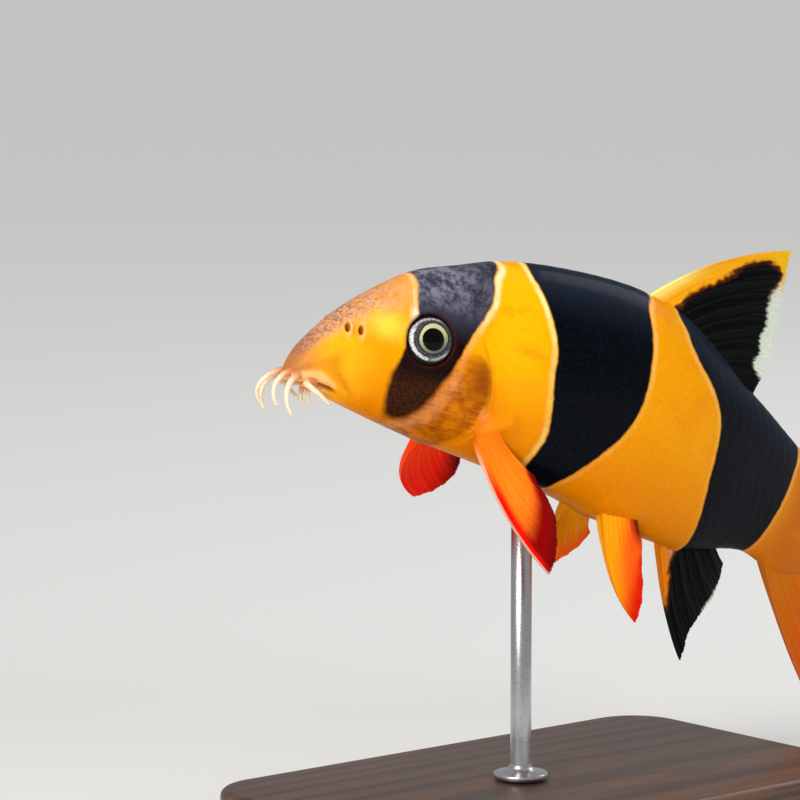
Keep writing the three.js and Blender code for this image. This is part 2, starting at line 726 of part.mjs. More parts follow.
// The rod stands on a small foot and ends just under the belly, cut to its curve.
function standRod() {
  const bottom = stand.baseHeight + gap;
  const top = belly.z - floorLevel + stand.intoBelly;
  const profile = [
    new THREE.Vector2(0, bottom),
    new THREE.Vector2(stand.footRadius, bottom),
    new THREE.Vector2(stand.footRadius, bottom + stand.footHeight * 0.6),
    new THREE.Vector2(stand.footRadius * 0.8, bottom + stand.footHeight),
    new THREE.Vector2(stand.rodRadius, bottom + stand.footHeight * 1.25),
    new THREE.Vector2(stand.rodRadius, top),
    new THREE.Vector2(0, top),
  ];
  const rod = new THREE.LatheGeometry(profile, 24).rotateX(Math.PI / 2);
  rod.translate(-stand.forward, 0, 0);
  const grown = pointsOf(trunkGrown);
  const posed = grown.points.map((point) => bend(point).add(fish.position));
  const corners = [];
  for (let i = 0; i < grown.index.length; i += 3) corners.push([...grown.index.slice(i, i + 3)]);
  return largest(solidOfGeometry(rod).subtract(solidFrom(posed, corners)));
}

const model = new THREE.Group();
model.add(fish);
const asBuilt = (point) => point;
model.add(meshOf("stand_base", standBase(), asBuilt), meshOf("stand_rod", standRod(), asBuilt));

export default model;
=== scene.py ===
"""Clown loach, a still life-size model on a plain display stand: the finished surfaces.

Lengths are millimetres, and become metres where a mesh is made. The fish is shaped straight, as the
solids are: x runs back from the snout, y to the fish's right and z up. A "share" is a share of the
body's length. The straight fish is then laid along the bent spine.
"""

import math

import bpy
import numpy as np
from mathutils import Matrix, Vector


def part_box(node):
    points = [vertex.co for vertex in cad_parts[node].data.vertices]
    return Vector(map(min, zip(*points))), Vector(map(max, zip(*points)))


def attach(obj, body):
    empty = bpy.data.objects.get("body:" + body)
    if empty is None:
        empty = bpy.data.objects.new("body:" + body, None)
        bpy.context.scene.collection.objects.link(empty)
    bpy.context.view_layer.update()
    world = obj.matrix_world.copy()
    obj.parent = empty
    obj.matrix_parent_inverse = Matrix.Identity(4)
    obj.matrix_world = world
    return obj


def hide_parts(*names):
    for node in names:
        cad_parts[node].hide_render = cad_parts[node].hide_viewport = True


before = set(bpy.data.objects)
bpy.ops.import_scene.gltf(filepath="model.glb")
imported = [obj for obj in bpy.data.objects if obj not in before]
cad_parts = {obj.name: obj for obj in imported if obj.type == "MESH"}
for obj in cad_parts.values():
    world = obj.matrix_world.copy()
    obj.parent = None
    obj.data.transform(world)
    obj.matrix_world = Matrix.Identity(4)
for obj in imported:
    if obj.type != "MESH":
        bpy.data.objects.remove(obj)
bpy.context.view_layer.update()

MM = 0.001
BODY = 115.0  # snout to the root of the tail fin

# Pose: the turns of the spine in degrees, and the stretch of the body over which it turns.
HEAD_YAW, HEAD_PITCH = -8, 14
YAW_BEND, YAW_FROM, YAW_TO = 19, 0.2, 1.0
PITCH_BEND, PITCH_FROM, PITCH_TO = 16, 0.3, 0.85

# The photo's view of the fish.
VIEW_AZIMUTH, VIEW_ELEVATION, VIEW_DISTANCE = -40, 7, 600
LENS, SENSOR = 184.95, 36
VIEW_TARGET = (15.74, -10.49)  # from the snout, to the picture's right and up


# Small helpers


def share(value):
    return value * BODY


def mix(a, b, t):
    return a + (b - a) * t


def ease(t):
    t = np.clip(t, 0, 1)
    return t * t * (3 - 2 * t)


def bump(distance, width):
    return np.exp(-((distance / width) ** 2))


def signed_power(value, power):
    return np.sign(value) * np.abs(value) ** power


def unit(vectors):
    return vectors / np.linalg.norm(vectors, axis=-1, keepdims=True)


def round_turn(steps):
    """Angles spread evenly round a full turn."""
    return np.linspace(0, 2 * math.pi, steps, endpoint=False)


def smooth_line(points):
    """A smooth curve through a few points (along, value), with no overshoot between them."""
    xs, vs = np.array(points, float).T
    slopes = np.diff(vs) / np.diff(xs)
    before, after = slopes[:-1], slopes[1:]
    same_way = before * after > 0
    between = 2 * before * after / np.where(same_way, before + after, 1)
    tangents = np.concatenate([slopes[:1], np.where(same_way, between, 0), slopes[-1:]])

    def value(x):
        i = np.clip(np.searchsorted(xs, x, side="right") - 1, 0, len(xs) - 2)
        span = xs[i + 1] - xs[i]
        t = np.clip((x - xs[i]) / span, 0, 1)
        rise = (1 - t) ** 2
        start = (1 + 2 * t) * rise * vs[i] + t * rise * span * tangents[i]
        end = t * t * (3 - 2 * t) * vs[i + 1] + t * t * (t - 1) * span * tangents[i + 1]
        return start + end

    return value


def curve_through(points, closed=False):
    """A smooth curve in space (or in a plane) through points, as a function of 0 to 1."""
    knots = np.array(points, float)
    if closed:
        knots = np.vstack([knots[-1:], knots, knots[:2]])
    else:
        knots = np.vstack([2 * knots[0] - knots[1], knots, 2 * knots[-1] - knots[-2]])
    spans = len(knots) - 3

    def value(u):
        u = np.clip(np.asarray(u, float), 0, 1) * spans
        i = np.minimum(u.astype(int), spans - 1)
        t = (u - i)[..., None]
        a, b, c, d = knots[i], knots[i + 1], knots[i + 2], knots[i + 3]
        cubic = (2 * a - 5 * b + 4 * c - d) * t**2 + (3 * b - a - 3 * c + d) * t**3
        return b + ((c - a) * t + cubic) / 2

    return value


# The body's surface, the same as the solids'

back_line = smooth_line([
    (0, -0.044), (0.008, -0.032), (0.028, -0.003), (0.064, 0.038), (0.116, 0.078), (0.17, 0.11),
    (0.229, 0.128), (0.289, 0.145), (0.37, 0.155), (0.5, 0.161), (0.6, 0.147), (0.7, 0.12),
    (0.8, 0.106), (0.9, 0.093), (0.97, 0.086), (1.09, 0.03),
])
belly_line = smooth_line([
    (0, -0.062), (0.03, -0.066), (0.08, -0.079), (0.14, -0.092), (0.21, -0.105), (0.31, -0.119),
    (0.45, -0.138), (0.56, -0.15), (0.66, -0.147), (0.72, -0.14), (0.81, -0.108), (0.9, -0.08),
    (0.97, -0.078), (1.09, -0.03),
])
half_width = smooth_line([
    (0, 0.016), (0.02, 0.027), (0.05, 0.037), (0.1, 0.049), (0.17, 0.061), (0.25, 0.069),
    (0.33, 0.073), (0.43, 0.075), (0.52, 0.072), (0.62, 0.063), (0.72, 0.049), (0.82, 0.034),
    (0.92, 0.022), (1.0, 0.013), (1.05, 0.006), (1.09, 0.001),
])
widest_level = smooth_line([(0, 0.45), (0.15, 0.42), (0.4, 0.44), (0.7, 0.5), (1.09, 0.5)])
back_fullness = smooth_line([(0, 2.1), (0.2, 2.1), (0.45, 1.8), (0.8, 1.8), (1.09, 2.0)])
belly_fullness = smooth_line([(0, 2.2), (0.2, 2.3), (0.45, 2.5), (0.65, 2.2), (1.09, 2.0)])
gill_line = smooth_line([
    (-0.24, 0.215), (-0.13, 0.228), (-0.105, 0.245), (-0.07, 0.264), (-0.035, 0.27), (0, 0.262),
    (0.04, 0.244), (0.08, 0.236), (0.24, 0.236),
])
NOSE_ROUNDING, NOSE_LEVEL = 0.022, -0.053
BODY_END = 1.09


def body_point(x, angle):
    """A point of the plain body at x and at an angle from the top towards the fish's right."""
    at = x / BODY
    nose = np.sqrt(1 - (1 - np.clip(at / NOSE_ROUNDING, 0, 1)) ** 2)
    top = share(mix(NOSE_LEVEL, back_line(at), nose))
    bottom = share(mix(NOSE_LEVEL, belly_line(at), nose))
    level = mix(bottom, top, widest_level(at))
    up, side = np.cos(angle), np.sin(angle)
    rounding = 2 / np.where(up > 0, back_fullness(at), belly_fullness(at))
    height = np.where(up > 0, top - level, level - bottom)
    y = share(half_width(at)) * nose * signed_power(side, rounding)
    z = level + height * signed_power(up, rounding)
    return np.stack(np.broadcast_arrays(x, y, z), axis=-1)


def body_normal(x, angle):
    step = 0.02
    along = body_point(x + share(step), angle) - body_point(x - share(step), angle)
    around = body_point(x, angle + step) - body_point(x, angle - step)
    return unit(np.cross(along, around))


def frame_on_body(x, z, side):
    """Point and axes on the body's side: back along the fish, up, and out of the surface."""
    low, high = 0.0, math.pi
    while high - low > 1e-6:
        middle = (low + high) / 2
        if body_point(x, middle)[2] > z:
            low = middle
        else:
            high = middle
    out = body_normal(x, side * low)
    across = unit(np.array([1.0, 0, 0]) - out * out[0])
    return body_point(x, side * low), across, np.cross(out, across), out


# The bent spine


def turn_about(axis, degrees):
    return np.array(Matrix.Rotation(math.radians(degrees), 3, axis))


def bent_spine():
    """Points and turns along the body, added up in small steps."""
    steps, reach = 280, 1.4
    places = np.linspace(0, reach, steps + 1)
    yaw = YAW_BEND * ease((places - YAW_FROM) / (YAW_TO - YAW_FROM))
    pitch = PITCH_BEND * ease((places - PITCH_FROM) / (PITCH_TO - PITCH_FROM))
    turn = turn_about("Z", HEAD_YAW) @ turn_about("Y", HEAD_PITCH)
    centres, turns = [np.zeros(3)], [turn]
    spacing = share(reach) / steps
    for yaw_step, pitch_step in zip(np.diff(yaw), np.diff(pitch)):
        half = turn_about("Z", yaw_step / 2) @ turn_about("Y", pitch_step / 2)
        turn = turn @ half
        centres.append(centres[-1] + turn @ (spacing, 0, 0))
        turn = turn @ half
        turns.append(turn)
    return np.array(centres), np.array(turns), spacing


SPINE_CENTRES, SPINE_TURNS, SPINE_SPACING = bent_spine()


def bend(points):
    """Lays points of the straight fish along the bent spine, from the snout."""
    along = np.clip(points[..., 0] / SPINE_SPACING, 0, len(SPINE_CENTRES) - 1.001)
    i = along.astype(int)
    t = (along - i)[..., None]
    turn = mix(SPINE_TURNS[i], SPINE_TURNS[i + 1], t[..., None])
    centre = mix(SPINE_CENTRES[i], SPINE_CENTRES[i + 1], t)
    local = np.stack([np.minimum(points[..., 0], 0), points[..., 1], points[..., 2]], axis=-1)
    return centre + np.einsum("...ij,...j->...i", turn, local)


def snout_place():
    """The snout's place over the stand: the belly over the rod, the back as high as the torso's."""
    rod_low, rod_high = (np.array(corner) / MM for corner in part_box("stand_rod"))
    torso_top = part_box("torso")[1][2] / MM
    belly = bend(np.array([share(0.4), 0, share(belly_line(0.4))]))
    x = share(np.linspace(0.25, 0.7, 200))
    back_top = bend(body_point(x, 0.0))[:, 2].max()
    rod = (rod_low + rod_high) / 2
    return np.array([rod[0] - belly[0], rod[1] - belly[1], torso_top - back_top])


SNOUT = snout_place()


def placed(points):
    return bend(points) + SNOUT


# Meshes


def add_object(name, data):
    added = bpy.data.objects.new(name, data)
    bpy.context.scene.collection.objects.link(added)
    return added


def make_piece(name, points, faces, material, stands_for, fields=None):
    """A smooth mesh from world points in millimetres, riding on the one body."""
    mesh = bpy.data.meshes.new(name)
    mesh.from_pydata((points * MM).tolist(), [], faces)
    for field, values in (fields or {}).items():
        layer = mesh.attributes.new(field, "FLOAT_VECTOR", "POINT")
        layer.data.foreach_set("vector", np.ascontiguousarray(values, dtype=np.float32).ravel())
    mesh.shade_smooth()
    mesh.materials.append(material)
    piece = add_object(name, mesh)
    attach(piece, "root")
    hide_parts(*stands_for)


def grid_faces(rows, columns, closed=True, start=0):
    """Four-sided faces over a grid of points, row by row, its columns joined round if closed."""
    across = columns if closed else columns - 1
    r, c = np.meshgrid(np.arange(rows - 1), np.arange(across), indexing="ij")
    a = start + r * columns + c
    b = start + r * columns + (c + 1) % columns
    return np.stack([a, b, b + columns, a + columns], axis=-1).reshape(-1, 4).tolist()


def loft(rings):
    """Points and faces of a closed skin over rings of as many points each."""
    rings = np.asarray(rings)
    rows, columns = rings.shape[:2]
    points = np.vstack([rings.reshape(-1, 3), rings[0].mean(0), rings[-1].mean(0)])
    faces = grid_faces(rows, columns)
    last = (rows - 1) * columns
    for j in range(columns):
        k = (j + 1) % columns
        faces.append([rows * columns, k, j])
        faces.append([rows * columns + 1, last + j, last + k])
    return points, faces


def turned(profile, sides):
    """A closed skin turned round the z axis, from (radius, height) points of its outline."""
    turn = round_turn(sides)
    circle = np.stack([np.cos(turn), np.sin(turn), 0 * turn], axis=-1)
    return loft([circle * radius + (0, 0, height) for radius, height in profile])


# Node looks


def rgb(red, green, blue):
    """A colour given as seen on a screen, 0 to 255, as linear light."""
    levels = [level / 255 for level in (red, green, blue)]
    return tuple(v / 12.92 if v < 0.04045 else ((v + 0.055) / 1.055) ** 2.4 for v in levels) + (1.0,)


class Field:
    """One value over a surface, which can be added, scaled and compared like a number."""

    def __init__(self, look, socket):
        self.look = look
        self.socket = socket

    def __add__(self, other):
        return self.look.math("ADD", self, other)

    def __sub__(self, other):
        return self.look.math("SUBTRACT", self, other)

    def __rsub__(self, other):
        return self.look.math("SUBTRACT", other, self)

    def __mul__(self, other):
        return self.look.math("MULTIPLY", self, other)

    __radd__ = __add__
    __rmul__ = __mul__

    def size(self):
        return self.look.math("ABSOLUTE", self)

    def wave(self):
        return self.look.math("SINE", self)

    def above(self, low, high):
        """0 below low, 1 above high, and smooth between. Low may be the larger, which turns it round."""
        if low > high:
            return 1 - self.above(high, low)
        inputs = {"Value": self, "From Min": low, "From Max": high}
        return self.look.node("ShaderNodeMapRange", inputs, {"interpolation_type": "SMOOTHSTEP"})

    def near(self, middle, reach):
        """1 at a value, falling to 0 at a reach on both sides of it."""
        return (self - middle).size().above(reach, 0)


class Look:
    """A material built from nodes."""

    def __init__(self, name, **surface):
        self.material = bpy.data.materials.new(name)
        self.material.use_nodes = True
        self.tree = self.material.node_tree
        self.surface = self.tree.nodes["Principled BSDF"]
        for key, value in surface.items():
            self.input(key).default_value = value

    def input(self, key):
        """The surface's input of a name such as coat_weight."""
        return self.surface.inputs[key.replace("_", " ").title().replace("Ior", "IOR")]

    def node(self, kind, inputs, settings=None, output=0):
        made = self.tree.nodes.new(kind)
        for key, value in (settings or {}).items():
            setattr(made, key, value)
        for key, value in inputs.items():
            self.feed(made.inputs[key], value)
        return Field(self, made.outputs[output])

    def feed(self, socket, value):
        if isinstance(value, Field):
            self.tree.links.new(value.socket, socket)
        else:
            socket.default_value = value

    def math(self, operation, first, second=0.0):
        return self.node("ShaderNodeMath", {0: first, 1: second}, {"operation": operation})

    def most(self, first, second):
        return self.math("MAXIMUM", first, second)

    def field(self, name):
        return self.node("ShaderNodeAttribute", {}, {"attribute_name": name}, "Vector")

    def split(self, vector):
        made = self.tree.nodes.new("ShaderNodeSeparateXYZ")
        self.feed(made.inputs[0], vector)
        return [Field(self, output) for output in made.outputs]

    def stretch(self, vector, x, y, z):
        return self.node("ShaderNodeVectorMath", {0: vector, 1: (x, y, z)}, {"operation": "MULTIPLY"})

    def noise(self, vector, scale, detail=2.0, roughness=0.5):
        inputs = {"Vector": vector, "Scale": scale, "Detail": detail, "Roughness": roughness}
        return self.node("ShaderNodeTexNoise", inputs)

    def cells(self, vector, scale):
        return self.node("ShaderNodeTexVoronoi", {"Vector": vector, "Scale": scale})

    def blend(self, first, second, factor):
        """Two colours mixed, each one a field or levels from 0 to 255."""
        first, second = (c if isinstance(c, Field) else rgb(*c) for c in (first, second))
        settings = {"data_type": "RGBA", "clamp_factor": True}
        return self.node("ShaderNodeMix", {0: factor, 6: first, 7: second}, settings, 2)

    def painted(self, colour, *layers):
        """A colour with others over it in turn, each given with how much of it shows."""
        for over, amount in layers:
            colour = self.blend(colour, over, amount)
        return colour

    def scaled(self, vector, factor):
        """A colour or a place times a factor."""
        return self.node("ShaderNodeVectorMath", {0: vector, "Scale": factor}, {"operation": "SCALE"})

    def raised(self, height, depth, normal=None):
        """A normal for a height of 0 to 1, depth in millimetres."""
        inputs = {"Height": height, "Distance": depth * MM, "Strength": 1.0}
        if normal:
            inputs["Normal"] = normal
        return self.node("ShaderNodeBump", inputs)

    def finish(self, **linked):
        for key, value in linked.items():
            self.feed(self.input(key), value)
        return self.material


# Markings, drawn on the side of the straight fish in hundredths of the body's length

OUTLINES = {
    "front": [
        (15.5, 10.2), (14.9, 7), (14.8, 5), (13.7, 2), (13.4, -0.8), (12.7, -3.2), (12.9, -6),
        (14.1, -8.1), (15.9, -8.4), (17.9, -6.9), (20.3, -1.8), (22.5, 3.4), (25.4, 8.4), (26.3, 12),
        (27.6, 14.4), (27, 20), (17, 20),
    ],
    "middle": [
        (32.4, 15.5), (32.2, 13.7), (34.2, 9.8), (35.8, 5), (36, 1), (36.7, -3.5), (37.1, -7),
        (36.4, -10.8), (37.8, -13.5), (38, -17), (41.2, -17), (42.3, -12.6), (46.8, -6.9),
        (49.7, -3), (51.2, 2), (51.3, 9.3), (50.9, 13.5), (51.9, 16), (51.5, 22), (33, 22),
    ],
    "rear": [
        (58.4, 16), (58.5, 12.6), (60.5, 9.9), (65.3, 6.4), (67.6, 3), (69.3, -4.1), (72, -9.8),
        (74, -13.4), (75.5, -17), (82, -17), (85.8, -12.6), (88.2, -8.5), (89.3, -2.5),
        (90, 4.2), (90.4, 9.5), (88, 14), (78, 13), (70, 17),
    ],
    "dorsal_patch": [
        (60, 12), (58.7, 15), (59.4, 17.8), (64.3, 22.2), (67.7, 25.9), (70.8, 27.9), (73.6, 28),
        (74.2, 26.8), (73.4, 23.8), (74.6, 20.6), (74.3, 18.4), (75, 16.4), (74.6, 13.8), (76, 10.5),
        (68, 8),
    ],
    "anal_patch": [
        (74.8, -11.8), (74.6, -14.8), (76.1, -17.9), (78, -20.7), (79.6, -23.6), (82.4, -27),
        (87, -27.4), (86.9, -24.2), (85.7, -20.4), (86.2, -16.7), (87, -13.2), (86.4, -11.2),
        (82, -9),
    ],
}
BAND_MIDDLES = (
    smooth_line([(-8, 15.2), (2, 17.6), (14, 22)]),
    smooth_line([(-16, 36.8), (-5, 42.5), (6, 44.3), (16, 42.5)]),
    smooth_line([(-14, 80), (-4, 81), (8, 76), (15, 68)]),
)


def outline_distance(points, x, z, steps=160):
    """How deep points lie inside a closed outline, in millimetres, negative outside it."""
    outline = curve_through(points, closed=True)
    corners = outline(np.linspace(0, 1, steps, endpoint=False)) * BODY / 100
    ends = np.roll(corners, -1, axis=0)
    nearest = np.full(x.shape, np.inf)
    inside = np.zeros(x.shape, bool)
    for (ax, az), (bx, bz) in zip(corners, ends):
        dx, dz = bx - ax, bz - az
        t = np.clip(((x - ax) * dx + (z - az) * dz) / (dx * dx + dz * dz), 0, 1)
        nearest = np.minimum(nearest, np.hypot(x - ax - t * dx, z - az - t * dz))
        crosses = (az > z) != (bz > z)
        inside ^= crosses & (x < ax + (z - az) * dx / np.where(dz == 0, 1, dz))
    return np.where(inside, nearest, -nearest)


def markings(points):
    """The fields that the looks read, for straight points in millimetres."""
    x, _, z = points.T
    at, level = x / BODY, z / BODY
    front, middle, *rear = [outline_distance(outline, x, z) for outline in OUTLINES.values()]
    bands = np.stack([front, middle, np.maximum.reduce(rear)], axis=-1)
    ahead = [at * 100 < line(level * 100) for line in BAND_MIDDLES]
    pale_front = np.where(
        ahead[0], 0.75 * ease((level - 0.02) / 0.03), 0.35 + 0.65 * ease((level - 0.03) / 0.04)
    )
    pale_middle = np.where(ahead[1], 1.0, 0.3)
    pale_rear = np.where(ahead[2], 0.22, 0.3)
    top, bottom = back_line(at), belly_line(at)
    rise = (2 * level - top - bottom) / (top - bottom)
    cheek = (
        ease((gill_line(level) - at) / 0.012)
        * ease((at - 0.16 - 0.35 * level) / 0.03)
        * ease((0.03 - level) / 0.05)
    )
    dusk = ease((0.17 - at) / 0.12) * ease((rise - 0.55) / 0.4)
    return {
        "place": points,
        "bands": bands,
        "pale": np.stack([pale_front, pale_middle, pale_rear], axis=-1),
        "zones": np.stack([cheek, dusk, rise], axis=-1),
        "crease_shading": np.zeros_like(points),
    }


# Skin

EYE_X, EYE_Z, EYE_RADIUS, EYE_DEPTH, EYE_SUNK = share(0.169), share(0.0225), 4.3, 2.8, 1.35
NOSTRIL_FRONT, NOSTRIL_BACK, NOSTRIL_Z = share(0.062), share(0.078), share(0.0165)
MOUTH_BACK, MOUTH_LENGTH, MOUTH_HALF, MOUTH_TURN = share(0.056), 4.9, 2.7, 100
LIP_RADIUS, LIP_OFFSET, LIP_SUNK = 0.72, 0.72, 0.126

# How far each form stands up from the plain body, or sinks into it, in millimetres.
GILL_COVER, GILL_FOLD, JAW_RIDGE, CHEEK_HOLLOW, BROW = 0.75, 0.28, 0.16, 0.22, 0.45
MOUTH_GROOVE, LIP_WRINKLES, LIP_FOLD = 0.85, 0.07, 0.12
EYE_SOCKET, EYE_RIM, EYE_FOLD = 2.4, 0.3, 0.08
NOSTRIL_HOLE, FRONT_COLLAR, BACK_COLLAR = 0.8, 0.6, 0.25
DORSAL_ROOT, ANAL_ROOT, PECTORAL_ROOT, PELVIC_ROOT = 0.55, 0.5, 0.7, 0.4
LATERAL_LINE, MUSCLE_LINES = 0.03, 0.01


def gill_cover(at, level):
    """Height of the gill cover over the plain body, and of the fold where it ends."""
    plate = ease((at - 0.185) / 0.077) * ease((0.045 - level) / 0.05) * ease((level + 0.1) / 0.035)
    past = share(at - gill_line(level))
    fold = ease((0.05 - level) / 0.03) * ease((level + 0.105) / 0.02)
    return GILL_COVER * plate * ease((0.25 - past) / 0.55) - GILL_FOLD * fold * bump(past - 0.5, 0.45)


def cheek_bones(at, level):
    """The faint edges of the bones under the skin of the cheek."""
    jaw = share(at - 0.2 - 6.4 * (level + 0.045) ** 2)
    hollow = np.hypot(share(at - 0.13), share(level + 0.03) * 0.8)
    return JAW_RIDGE * bump(jaw, 1.2) * ease((0.01 - level) / 0.03) - CHEEK_HOLLOW * bump(hollow, 4.0)


def mouth_relief(points, facing_down):
    """Lips and mouth line, two soft rolls along a horseshoe under the snout, and the mask of painted
    shade in their groove and folds.
    """
    x, y = points[:, 0] - MOUTH_BACK, points[:, 1]
    reach = np.hypot(x / MOUTH_LENGTH, y / MOUTH_HALF) + 1e-6
    slope = np.hypot(x / MOUTH_LENGTH**2, y / MOUTH_HALF**2) / reach
    distance = (reach - 1) / slope
    turned_by = np.degrees(np.arctan2(np.abs(y) / MOUTH_HALF, -x / MOUTH_LENGTH)) / MOUTH_TURN
    radius = LIP_RADIUS * np.sqrt(np.clip(1 - 0.82 * turned_by**2, 0.04, 1))
    here = ease((1.12 - turned_by) / 0.2) * ease(facing_down / 0.4)
    lips = 0
    for offset in (LIP_OFFSET, -LIP_OFFSET):
        inside = np.clip(radius**2 - (distance - offset) ** 2, 0, None)
        lips = np.maximum(lips, np.sqrt(inside) - LIP_SUNK)
    groove = MOUTH_GROOVE * bump(distance, 0.2)
    wrinkles = LIP_WRINKLES * np.sin(9 * np.arctan2(y, -x)) * bump(np.abs(distance) - LIP_OFFSET, 0.4)
    outer_fold = bump(distance - LIP_OFFSET - 0.85, 0.35) * ease((1.3 - turned_by) / 0.3)
    relief = here * (lips - groove + wrinkles * (turned_by < 0.95)) - LIP_FOLD * outer_fold
    # Painted shade: the mouth groove and the fold outside the lips are darkened.
    crease_shading = here * bump(distance, 0.3) + 0.4 * outer_fold * ease(facing_down / 0.2 + 1)
    return relief, crease_shading, here * ease(lips / 0.3)


def around_place(points, x, z, side, depth, squeeze=(1, 1)):
    """How far points lie from a place on one side of the head, and how far back and up."""
    middle, *axes = frame_on_body(x, z, side)
    back, up, out = ((points - middle) @ axis for axis in axes)
    beyond = 99 * (np.abs(out) > depth)
    return np.hypot(back * squeeze[0], up * squeeze[1]) + beyond, back, up


def eye_and_nostril_relief(points, side):
    away, _, up = around_place(points, EYE_X, EYE_Z, side, 6)
    relief = EYE_RIM * bump(away - 4.1, 0.45) - EYE_SOCKET * ease((3.85 - away) / 0.5)
    relief += EYE_FOLD * bump(away - 5.6, 0.8) * ease((up + 1) / 5)
    # Painted shade: a dark ring in the groove round the eye.
    crease_shading, flesh = 0.7 * bump(away - 3.9, 0.3), 0
    for x, collar in ((NOSTRIL_FRONT, FRONT_COLLAR), (NOSTRIL_BACK, BACK_COLLAR)):
        away, back, _ = around_place(points, x, NOSTRIL_Z, side, 4, (1.5, 0.75))
        behind = 0.55 + 0.45 * np.tanh(back / 0.3)
        relief += collar * behind * bump(away - 0.85, 0.3) - NOSTRIL_HOLE * ease((0.68 - away) / 0.4)
        # Painted shade in the nostril pit.
        crease_shading += 0.85 * ease((0.7 - away) / 0.3)
        flesh += behind * bump(away - 0.95, 0.32)
    return relief, crease_shading, flesh


def fin_roots(points):
    """The low fleshy ridges that the fins grow from."""
    at, _, level = points.T / BODY
    off = np.abs(points[:, 1])
    dorsal = DORSAL_ROOT * bump(off, 1.3) * ease((at - 0.53) / 0.05) * ease((0.74 - at) / 0.05)
    anal = ANAL_ROOT * bump(off, 1.2) * ease((at - 0.71) / 0.03) * ease((0.83 - at) / 0.03)
    relief = np.where(level > 0, dorsal, anal)
    for (x0, z0), (x1, z1), height, width in (
        ((0.266, -0.079), (0.308, -0.062), PECTORAL_ROOT, 1.5),
        ((0.53, -0.135), (0.595, -0.132), PELVIC_ROOT, 1.6),
    ):
        t = np.clip((at - x0) / (x1 - x0), 0, 1)
        from_root = share(np.hypot(at - mix(x0, x1, t), level - mix(z0, z1, t)))
        relief += height * bump(from_root, width) * (off > share(0.012))
    return relief


def flank_relief(points):
    """Lateral line and the faint chevrons of the muscles."""
    at, _, level = points.T / BODY
    from_line = share(level - 0.012 + 0.02 * (at - 0.5))
    behind_gill = ease((at - 0.28) / 0.03) * ease((1.0 - at) / 0.05)
    chevrons = np.sin((share(at) - 2.2 * np.abs(np.sin(from_line * 0.3))) * 2.1)
    return behind_gill * (MUSCLE_LINES * chevrons - LATERAL_LINE * bump(from_line, 0.22))


def skin_points():
    """The straight points of the skin, ring by ring with all its relief, and the masks of painted crease
    shade and of paler flesh.
    """
    around, head_rings, trunk_rings = 384, 210, 330
    head_end = share(0.3)
    head = head_end * ((np.arange(head_rings) + 0.25) / head_rings) ** 1.5
    trunk = np.linspace(head_end, share(BODY_END), trunk_rings)
    x = np.concatenate([head, trunk])[:, None]
    plain = body_point(x, round_turn(around)[None, :])
    along = np.gradient(plain, axis=0)
    sideways = np.roll(plain, -1, axis=1) - np.roll(plain, 1, axis=1)
    points, normal = plain.reshape(-1, 3), unit(np.cross(along, sideways)).reshape(-1, 3)
    at, _, level = points.T / BODY
    height = gill_cover(at, level) + cheek_bones(at, level)
    height += BROW * bump(np.hypot(points[:, 0] - EYE_X, points[:, 2] - EYE_Z - 1), 5.5)
    lips, mouth_crease_shading, lip_flesh = mouth_relief(points, -normal[:, 2])
    side_of = np.where(points[:, 1] < 0, 0, 1)
    sides = np.array([eye_and_nostril_relief(points, side) for side in (-1, 1)])
    relief, crease_shading, flesh = sides[side_of, :, np.arange(len(points))].T
    height += lips + fin_roots(points) + flank_relief(points) + relief
    # The painted crease shade, and the paler flesh of the lips and nostril collars.
    shading_and_flesh = np.stack([mouth_crease_shading + crease_shading, lip_flesh + flesh, 0 * height], axis=-1)
    return points + normal * height[:, None], shading_and_flesh, around


